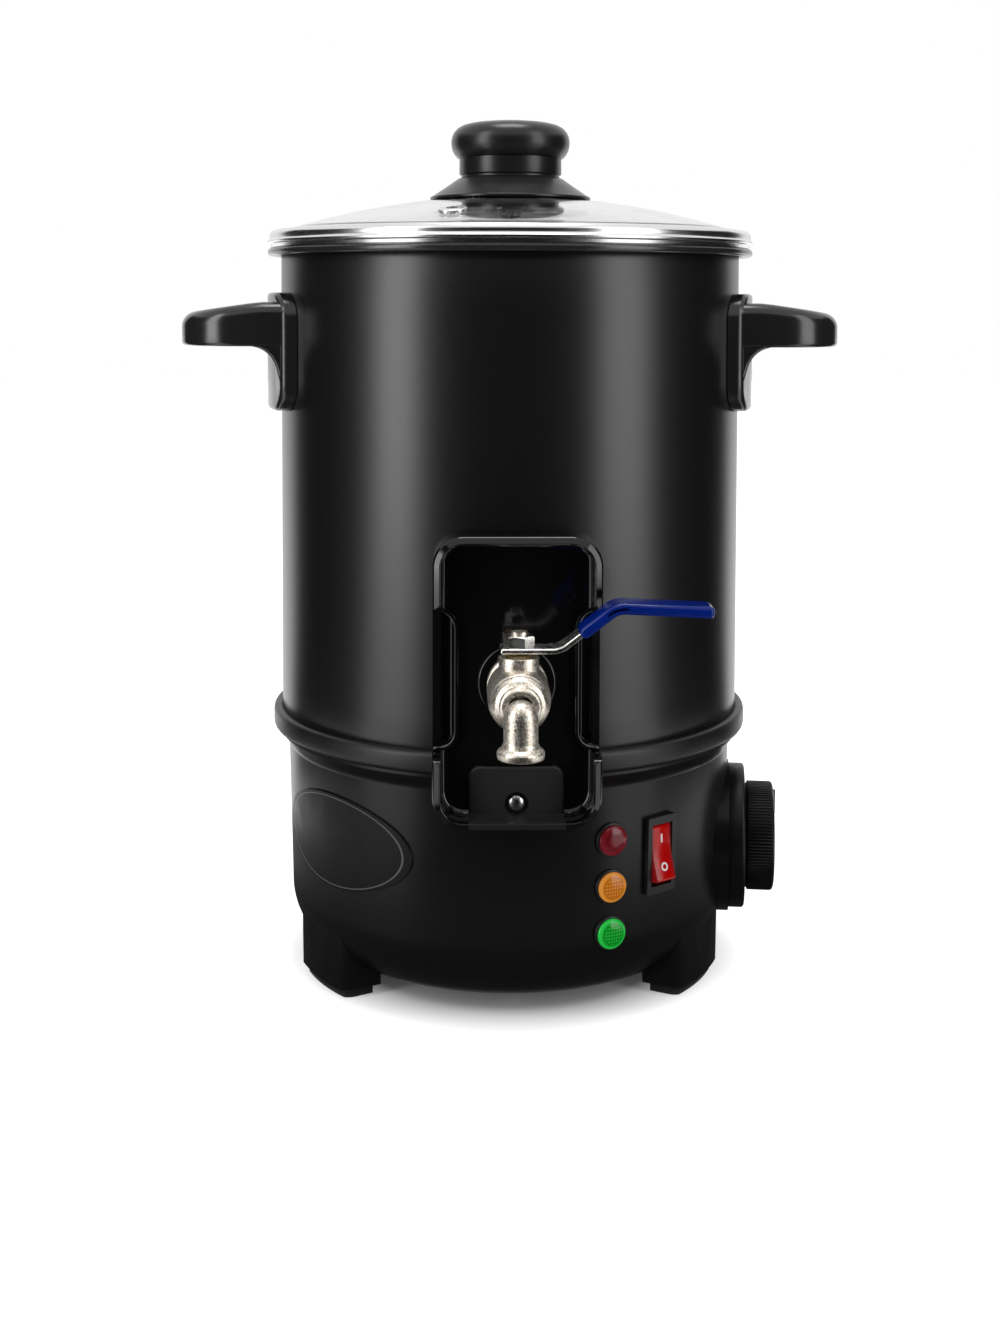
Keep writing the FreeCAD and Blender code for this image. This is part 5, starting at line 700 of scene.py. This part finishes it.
lever_steel = new_finish("polished_lever_steel", Base_Color=(0.74, 0.73, 0.70, 1), Metallic=1.0)
vary_roughness(lever_steel, 3, 0.22, 0.34)
add_relief(lever_steel, 1.4, 0.02, stretch=(0.3, 1, 1))
blue_vinyl = new_finish("blue_dipped_vinyl", Specular_IOR_Level=0.25)
vary_colour(blue_vinyl, 8, (0.0006, 0.010, 0.135), (0.001, 0.014, 0.165))
vary_roughness(blue_vinyl, 3, 0.12, 0.2)
add_relief(blue_vinyl, 2.5, 0.03)
lever = strip("lever_strip", [
    (-7, STRIP_HEIGHT), (15, STRIP_HEIGHT, 8), (36, STRIP_HEIGHT + 16, 8), (70, STRIP_HEIGHT + 14.4)],
    STRIP_WIDTH, STRIP_SHEET, 0.9, 4)
grip = strip("vinyl_grip", [
    (22.6, STRIP_HEIGHT + 5.8), (36, STRIP_HEIGHT + 16, 8), (72, STRIP_HEIGHT + 14.3)],
    GRIP_WIDTH, GRIP_SHEET, 1.9, 5)
bpy.ops.mesh.primitive_cylinder_add(vertices=6, radius=NUT_ACROSS / math.sqrt(3) * MM, depth=NUT_TALL * MM)
nut = placed(bpy.context.object, (0, 0, STRIP_HEIGHT + 3.2), (0, 0, math.radians(NUT_TURN)))
nut.name = "stem_nut"
carved(nut, turned("nut_chamfer", [
    (0, STRIP_HEIGHT + 1.1), (5.2, STRIP_HEIGHT + 1.1), (5.9, STRIP_HEIGHT + 1.5),
    (5.9, STRIP_HEIGHT + 4.5), (4.9, STRIP_HEIGHT + 5.25), (0, STRIP_HEIGHT + 5.3)], steps=48), "INTERSECT")
placed(nut, (0, -STEM_REACH, 0))
for piece, node, slot, finish in (
        (lever, "lever", "tap_nickel", lever_steel), (grip, "lever_grip", "blue_vinyl", blue_vinyl),
        (nut, "lever_nut", "tap_nickel", lever_steel)):
    finished(piece, finish, smooth=30)
    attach(piece, "tap_lever")
    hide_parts(node)

# ---- indicator lamps ----
# Three snap-in neon lamps, black barrels with domed lenses moulded in coloured plastic. Amber and green
# have a fine grid of dots inside, red is smooth, and all three are paler round the edge.

LAMP_AZIMUTH, LENS_RADIUS = 23.4, 6.1
BOWL_FOOT, BOWL_FOOT_RADIUS, BOWL_SPREAD, BOWL_RISE = 6.5, 95, 2.2, 90.5
BASE_LEAN = math.degrees(math.atan(BOWL_SPREAD / BOWL_RISE))


def bowl_radius(height):
    """Radius of the outside of the base in mm at a height."""
    return BOWL_FOOT_RADIUS + (height - BOWL_FOOT) * BOWL_SPREAD / BOWL_RISE


def off_middle(across, up):
    """Distance from the middle of a face."""
    return calculated("SQRT", calculated("ADD", calculated("MULTIPLY", across, across),
                                         calculated("MULTIPLY", up, up)))


for lens, height, colour, pale, column_pitch, row_pitch, glow in (
        ("red", 75, (0.13, 0.003, 0.008), (0.20, 0.012, 0.02), 0, 0, 0.0),
        ("amber", 56, (0.35, 0.10, 0.003), (0.58, 0.22, 0.028), 1.2, 1.4, 0.3),
        ("green", 37, (0.0, 0.17, 0.008), (0.012, 0.38, 0.045), 1.15, 1.35, 0.45)):
    lens_plastic = new_finish(f"{lens}_lens", Specular_IOR_Level=0.34)
    across, up = across_and_up(lens_plastic, LAMP_AZIMUTH, height)
    from_middle = off_middle(across, up)
    if column_pitch:
        columns = calculated("SINE", calculated("MULTIPLY", across, math.tau / column_pitch))
        rows = calculated("COSINE", calculated("MULTIPLY", up, math.tau / row_pitch))
        dots = ramp(calculated("ADD", columns, rows), 0.5, 1.5, 0, 1)
        dots = calculated("MULTIPLY", dots, ramp(from_middle, 3.9, 4.3, 1, 0))
        paleness = calculated("MAXIMUM", ramp(from_middle, 4.4, 5.3, 0, 1), dots)
    else:
        paleness = ramp(from_middle, 3.5, 6.0, 0, 1)
    shade = blended(paleness, colour, pale)
    feed(lens_plastic, "Base Color", shade)
    if glow:
        feed(lens_plastic, "Emission Color", shade)
        lens_plastic.node_tree.nodes["Principled BSDF"].inputs["Emission Strength"].default_value = glow
    vary_roughness(lens_plastic, 2, 0.12, 0.2)
    add_relief(lens_plastic, 1, 0.01)
    piece = turned(f"{lens}_lens_cap", [
        (0, -7.5), (4.6, -7.5), (4.6, 1.2), (LENS_RADIUS, 1.2, 0.2), (LENS_RADIUS, 2.1, 0.6),
        (5.2, 2.9, 1.2), (2.8, 3.45, 6), (0, 3.6)], lens_plastic, steps=64)
    outward(piece, LAMP_AZIMUTH, height, bowl_radius(height), lean=BASE_LEAN)
    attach(piece, "housing")
    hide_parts(f"lamp_lens_{lens}")

lamp_plastic = new_finish("small_black_plastic", Base_Color=(0.014, 0.014, 0.014, 1),
                          Specular_IOR_Level=0.3)
vary_roughness(lamp_plastic, 4, 0.3, 0.4)
add_relief(lamp_plastic, 0.6, 0.005)
dress(lamp_plastic, "lamp_holders", "switch_housing", "power_inlet")

contact_brass = new_finish("contact_brass", Metallic=1.0)
vary_colour(contact_brass, 2, (0.60, 0.46, 0.22), (0.70, 0.58, 0.32))
vary_roughness(contact_brass, 1.5, 0.22, 0.36)
add_relief(contact_brass, 0.5, 0.006)
dress(contact_brass, "lamp_terminals", "switch_terminals", "inlet_pins")

# ---- rocker switch ----
# A snap-in mains switch: a black frame round a clear red moulded rocker with a hollow face, printed with a
# white bar at the top and a white ring below.

SWITCH_AZIMUTH, SWITCH_HEIGHT, PIVOT_DEPTH, TILT = 37.4, 65.5, 2.0, 11.0
ROCKER_HALF, ROCKER_HALF_WIDTH, FACE_END, FACE_MIDDLE = 11.2, 5.2, 5.6, 4.2


def on_rocker(piece):
    """Puts a piece drawn about the pivot in its place in the switch, tilted as it rests."""
    lean = math.radians(BASE_LEAN)
    return outward(piece, SWITCH_AZIMUTH, SWITCH_HEIGHT + PIVOT_DEPTH * math.sin(lean),
                   bowl_radius(SWITCH_HEIGHT) - PIVOT_DEPTH * math.cos(lean), lean=BASE_LEAN - TILT)


# The faint red emission is painted glow, standing in for light shining through the clear plastic.
rocker_plastic = new_finish("rocker_red", Specular_IOR_Level=0.3, Emission_Color=(0.5, 0.0, 0.0, 1),
                            Emission_Strength=0.10)
across, up = across_and_up(rocker_plastic, SWITCH_AZIMUTH, SWITCH_HEIGHT)
side_wall = ramp(calculated("ABSOLUTE", across), 3.2, 4.0, 0, 1)
feed(rocker_plastic, "Base Color", blended(side_wall, (0.36, 0.001, 0.001), (0.24, 0.008, 0.010)))
vary_roughness(rocker_plastic, 3, 0.12, 0.2)
add_relief(rocker_plastic, 2, 0.01)
rocker = profiled("red_rocker", [
    (ROCKER_HALF, -1.6), (ROCKER_HALF, FACE_END, 0.7), (0, FACE_MIDDLE, 28), (-ROCKER_HALF, FACE_END, 0.7),
    (-ROCKER_HALF, -1.6), (0, -4)], ROCKER_HALF_WIDTH)
eased(rocker, 0.45, 2, lambda at, part: abs(at.x) > ROCKER_HALF_WIDTH - 0.1 and at.z > 2)
on_rocker(finished(rocker, rocker_plastic, smooth=30))
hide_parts("switch_rocker")

mark_white = new_finish("printed_white", Specular_IOR_Level=0.4)
vary_colour(mark_white, 1, (0.72, 0.66, 0.65), (0.82, 0.78, 0.77))
vary_roughness(mark_white, 0.8, 0.3, 0.45)
add_relief(mark_white, 0.4, 0.004)
slope = math.atan((FACE_END - FACE_MIDDLE) / ROCKER_HALF)
bar_mark = oblong("bar_mark", (-0.45, -1.75), (0.45, 1.75), 0.2, -0.3, 0.05)
ring_mark = turned("ring_mark", [
    (0.95, -0.3), (1.75, -0.3), (1.75, 0.05), (0.95, 0.05)], steps=48, closed=True)
for piece, up in ((bar_mark, 5.8), (ring_mark, -5.6)):
    placed(piece, (0, up, FACE_MIDDLE + abs(up) * math.tan(slope)), (math.copysign(slope, up), 0, 0))
    on_rocker(finished(piece, mark_white))
for piece in (rocker, bar_mark, ring_mark):
    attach(piece, "rocker")

# ---- temperature dial ----
# A thick black scale ring with a finely knurled knob in front of it, pushed on the spindle of the
# thermostat. A short raised line on the knob points to the setting.

DIAL_AZIMUTH, DIAL_HEIGHT, DIAL_BACK, DIAL_SEAT, DIAL_FACE = 82.5, 53.5, 97.6, 104.8, 117.3
KNURLS, KNURL_STEPS, KNURL_SHRINK = 104, 4, 0.981

dial_plastic = new_finish("dial_plastic", Base_Color=(0.005, 0.005, 0.005, 1), Specular_IOR_Level=0.22)
vary_roughness(dial_plastic, 5, 0.34, 0.42)
add_relief(dial_plastic, 0.8, 0.006)
bezel = turned("scale_ring", [
    (5.4, DIAL_BACK), (31, DIAL_BACK, 0.5), (31, 104.5, 1.4), (24.2, 104.5, 0.2), (24.0, 104.1),
    (5.4, 104.1)], dial_plastic, closed=True)
outward(bezel, DIAL_AZIMUTH, DIAL_HEIGHT)
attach(bezel, "housing")
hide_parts("dial_bezel")

dial = turned("dial_grip", [
    (0, DIAL_SEAT), (22.0, DIAL_SEAT), (22.6, DIAL_SEAT + 0.8), (23.4, DIAL_SEAT + 1.0, 0.2),
    (23.4, DIAL_FACE - 1.6), (23.0, DIAL_FACE - 0.7, 0.5), (21.8, DIAL_FACE - 0.2, 0.5), (20.5, DIAL_FACE),
    (0, DIAL_FACE)], steps=KNURLS * KNURL_STEPS)
opened(dial)
pick(dial, "verts", lambda at, part: (
    DIAL_SEAT + 0.9 < at.z < DIAL_FACE - 1.5 and math.hypot(at.x, at.y) > 22.8
    and round(math.atan2(at.y, at.x) / math.tau * KNURLS * KNURL_STEPS) % KNURL_STEPS < 2))
bpy.ops.transform.resize(value=(KNURL_SHRINK, KNURL_SHRINK, 1), center_override=(0, 0, 0))
pointer = oblong("pointer", (-1.2, 9.6), (1.2, 20.4), 0.4, 114, DIAL_FACE + 0.8)
carved(finished(dial), pointer, "UNION")
outward(finished(dial, dial_plastic, smooth=25), DIAL_AZIMUTH, DIAL_HEIGHT)
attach(dial, "dial")
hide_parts("dial_knob")

case_plastic = new_finish("thermostat_case", Base_Color=(0.6, 0.58, 0.52, 1))
vary_roughness(case_plastic, 4, 0.4, 0.5)
add_relief(case_plastic, 1, 0.01)
dress(case_plastic, "thermostat_body")

# ---- oval plate ----
# A thin stamped plate glued to the base, enamelled black on its face with a fine bare line near the edge.
# It carries nothing.

OVAL_AZIMUTH, OVAL_MIDDLE, OVAL_HALF_WIDTH, OVAL_HALF_HEIGHT = -49.8, 67.0, 39.6, 19.5
BORDER, BORDER_HALF = 0.94, 0.011  # as shares of the way from the middle to the edge

plate_black = new_finish("plate_black", Specular_IOR_Level=0.12)
across, up = across_and_up(plate_black, OVAL_AZIMUTH, OVAL_MIDDLE)
from_middle = off_middle(calculated("DIVIDE", across, OVAL_HALF_WIDTH),
                         calculated("DIVIDE", up, OVAL_HALF_HEIGHT))
off_border = calculated("ABSOLUTE", calculated("SUBTRACT", from_middle, BORDER))
border = calculated("LESS_THAN", off_border, BORDER_HALF)
feed(plate_black, "Base Color", blended(border, (0.006, 0.006, 0.006), (0.09, 0.09, 0.09)))
vary_roughness(plate_black, 10, 0.28, 0.36)
add_relief(plate_black, 1.5, 0.006)
dress(plate_black, "oval_plate")

# ---- inside ----
# Sheet shield, spreader plate, sheathed element, ceramic cut-out and the thermostat's bulb: bare metal and
# ceramic, seen only when the cover is off.

zinc_sheet = new_finish("zinc_sheet", Metallic=1.0)
vary_colour(zinc_sheet, 12, (0.50, 0.51, 0.52), (0.66, 0.67, 0.68), detail=3)
vary_roughness(zinc_sheet, 8, 0.3, 0.5)
add_relief(zinc_sheet, 2, 0.01)
dress(zinc_sheet, "heat_shield")

cast_aluminium = new_finish("plate_aluminium", Metallic=1.0)
vary_colour(cast_aluminium, 4, (0.55, 0.55, 0.54), (0.66, 0.66, 0.65))
vary_roughness(cast_aluminium, 2, 0.35, 0.5)
add_relief(cast_aluminium, 0.8, 0.02)
dress(cast_aluminium, "heater_plate")

element_steel = new_finish("element_steel", Metallic=1.0)
vary_colour(element_steel, 5, (0.30, 0.29, 0.27), (0.42, 0.40, 0.37))
vary_roughness(element_steel, 2, 0.3, 0.45)
add_relief(element_steel, 0.7, 0.01)
dress(element_steel, "heating_element", "thermostat_probe", "thermostat_spindle")

white_ceramic = new_finish("white_ceramic", Base_Color=(0.8, 0.79, 0.75, 1))
vary_roughness(white_ceramic, 3, 0.45, 0.6)
add_relief(white_ceramic, 0.8, 0.01)
dress(white_ceramic, "thermal_cutout")

# ---- floor, light and camera ----
# A pale floor that runs out into the white of the room, with a painted shadow round the foot, a lamp above,
# a tall soft lamp on each side, and dark cards between the lamps, as round any dark gloss object in a studio.
# Two dark rings round the foot, seen only in reflections, are painted shade of the floor under its shadow.

alone()
bpy.ops.mesh.primitive_plane_add(size=8)
floor = placed(bpy.context.object, (0, 1500, 0))
floor.name = "floor"
floor_white = new_finish("floor_white", Base_Color=(0.82, 0.82, 0.82, 1), Roughness=0.7,
                         Specular_IOR_Level=0.1, Emission_Color=(1, 1, 1, 1))
floor.data.materials.append(floor_white)


def background_rays(tree):
    """1 for rays from the camera and for those that metal and glass send on, 0 for the rest."""
    path = tree.nodes.new("ShaderNodeLightPath")
    mirrored_rays = calculated("MAXIMUM", path.outputs["Is Camera Ray"], path.outputs["Is Glossy Ray"])
    return calculated("MAXIMUM", mirrored_rays, path.outputs["Is Transmission Ray"])


tree = floor_white.node_tree
place = tree.nodes.new("ShaderNodeTexCoord")
distance = tree.nodes.new("ShaderNodeVectorMath")
distance.operation = "LENGTH"
# Its glow, seen straight on and in reflections, is nearly dark round the foot, a painted shadow of the object
# on the floor, and rises to full white farther off.
painted_shade_fade = tree.nodes.new("ShaderNodeValToRGB")
stops = painted_shade_fade.color_ramp.elements
stops[0].position, stops[0].color = 0.07, (0.04, 0.04, 0.04, 1)
stops[1].position, stops[1].color = 0.9, (1, 1, 1, 1)
stops.new(0.105).color = (0.88, 0.88, 0.88, 1)
tree.links.new(place.outputs["Object"], distance.inputs[0])
tree.links.new(distance.outputs["Value"], painted_shade_fade.inputs["Fac"])
feed(floor_white, "Emission Strength", calculated("MULTIPLY", painted_shade_fade.outputs["Color"], background_rays(tree)))

world = bpy.data.worlds.new("room")
bpy.context.scene.world = world
world.use_nodes = True
nodes, links = world.node_tree.nodes, world.node_tree.links
room = nodes["Background"]
room.inputs["Color"].default_value = (1, 1, 1, 1)
room.inputs["Strength"].default_value = 0.3
seen = nodes.new("ShaderNodeBackground")
seen.inputs["Color"].default_value = (1, 1, 1, 1)
choose = nodes.new("ShaderNodeMixShader")
links.new(background_rays(world.node_tree), choose.inputs["Fac"])
links.new(room.outputs["Background"], choose.inputs[1])
links.new(seen.outputs["Background"], choose.inputs[2])
links.new(choose.outputs["Shader"], nodes["World Output"].inputs["Surface"])

FRONT_CARD, SIDE_CARD, FAR_SIDE, CARD_TOP, FOOT_CARD, FOOT_CARD_EDGE = 245, 330, 900, 720, 74, 165
for name, first, last, outline, glow in (
        ("front_card", -43, 40, [(FRONT_CARD, 1), (FAR_SIDE, 1), (FAR_SIDE, CARD_TOP)], 0.0),
        ("left_card", -130, -70, [(SIDE_CARD, 1), (FAR_SIDE, 1), (FAR_SIDE, CARD_TOP)], 0.0),
        ("right_card", 68, 130, [(SIDE_CARD, 1), (FAR_SIDE, 1), (FAR_SIDE, CARD_TOP)], 0.0),
        # The two rings round the foot are painted shade: dark sheets, seen only in reflections, for the floor
        # darkened by the object's shadow. Their faint glow sets how dark that shade reads.
        ("foot_shadow_card", -150, 150, [(FOOT_CARD, 1), (FOOT_CARD_EDGE, 1)], 0.05),
        ("outer_shadow_card", -150, 150, [(FOOT_CARD_EDGE, 1), (FRONT_CARD, 1)], 0.17)):
    card_paint = new_finish(f"{name}_paint", Base_Color=(0.01, 0.01, 0.01, 1), Roughness=0.9,
                            Specular_IOR_Level=0.0, Emission_Color=(1, 1, 1, 1), Emission_Strength=glow)
    card = drawn(name, outline)
    bpy.ops.mesh.spin(steps=24, angle=math.radians(first - last), center=(0, 0, 0), axis=(0, 0, 1))
    placed(finished(card, card_paint), rotation=(0, 0, math.radians(first - 90)))
    card.visible_camera = card.visible_diffuse = card.visible_transmission = card.visible_shadow = False


def area_lamp(name, azimuth, distance, low, high, width, radiance):
    """An upright soft lamp at an azimuth, 0 being the front, sized in metres, with its radiance."""
    light = bpy.data.lights.new(name, "AREA")
    light.shape, light.size, light.size_y = "RECTANGLE", width, high - low
    light.energy = 4 * width * (high - low) * radiance
    lamp = bpy.data.objects.new(name, light)
    side = math.radians(azimuth)
    lamp.location = (math.sin(side) * distance, -math.cos(side) * distance, (low + high) / 2)
    lamp.rotation_euler = (math.radians(90), 0, side)
    lamp.visible_camera = False
    bpy.context.scene.collection.objects.link(lamp)
    return lamp


area_lamp("left_lamp", -56, 1.5, 0.0, 1.7, 0.50, 4.0)
area_lamp("right_lamp", 53, 1.5, 0.0, 1.7, 0.62, 2.35)
top_lamp = area_lamp("top_lamp", 0, 0, -0.3, 0.3, 0.7, 6.5)
top_lamp.location, top_lamp.rotation_euler = (0, 0, 1.7), (0, 0, 0)

CAMERA_DISTANCE, CAMERA_HEIGHT = 0.7748, 0.2891
CAMERA_AZIMUTH, CAMERA_PITCH, CAMERA_ROLL = -1.64, -3.0, 0.173
lens = bpy.data.cameras.new("camera")
lens.sensor_width, lens.lens = 36, 47.353
lens.shift_x, lens.shift_y = -0.0073, -0.2060
camera = bpy.data.objects.new("camera", lens)
bpy.context.scene.collection.objects.link(camera)
bpy.context.scene.camera = camera
side = math.radians(CAMERA_AZIMUTH)
camera.location = (CAMERA_DISTANCE * math.sin(side), -CAMERA_DISTANCE * math.cos(side), CAMERA_HEIGHT)
aim = Matrix.Rotation(side, 3, "Z") @ Matrix.Rotation(math.radians(90 + CAMERA_PITCH), 3, "X")
camera.rotation_euler = (aim @ Matrix.Rotation(math.radians(CAMERA_ROLL), 3, "Z")).to_euler()
bpy.context.scene.view_settings.view_transform = "Standard"
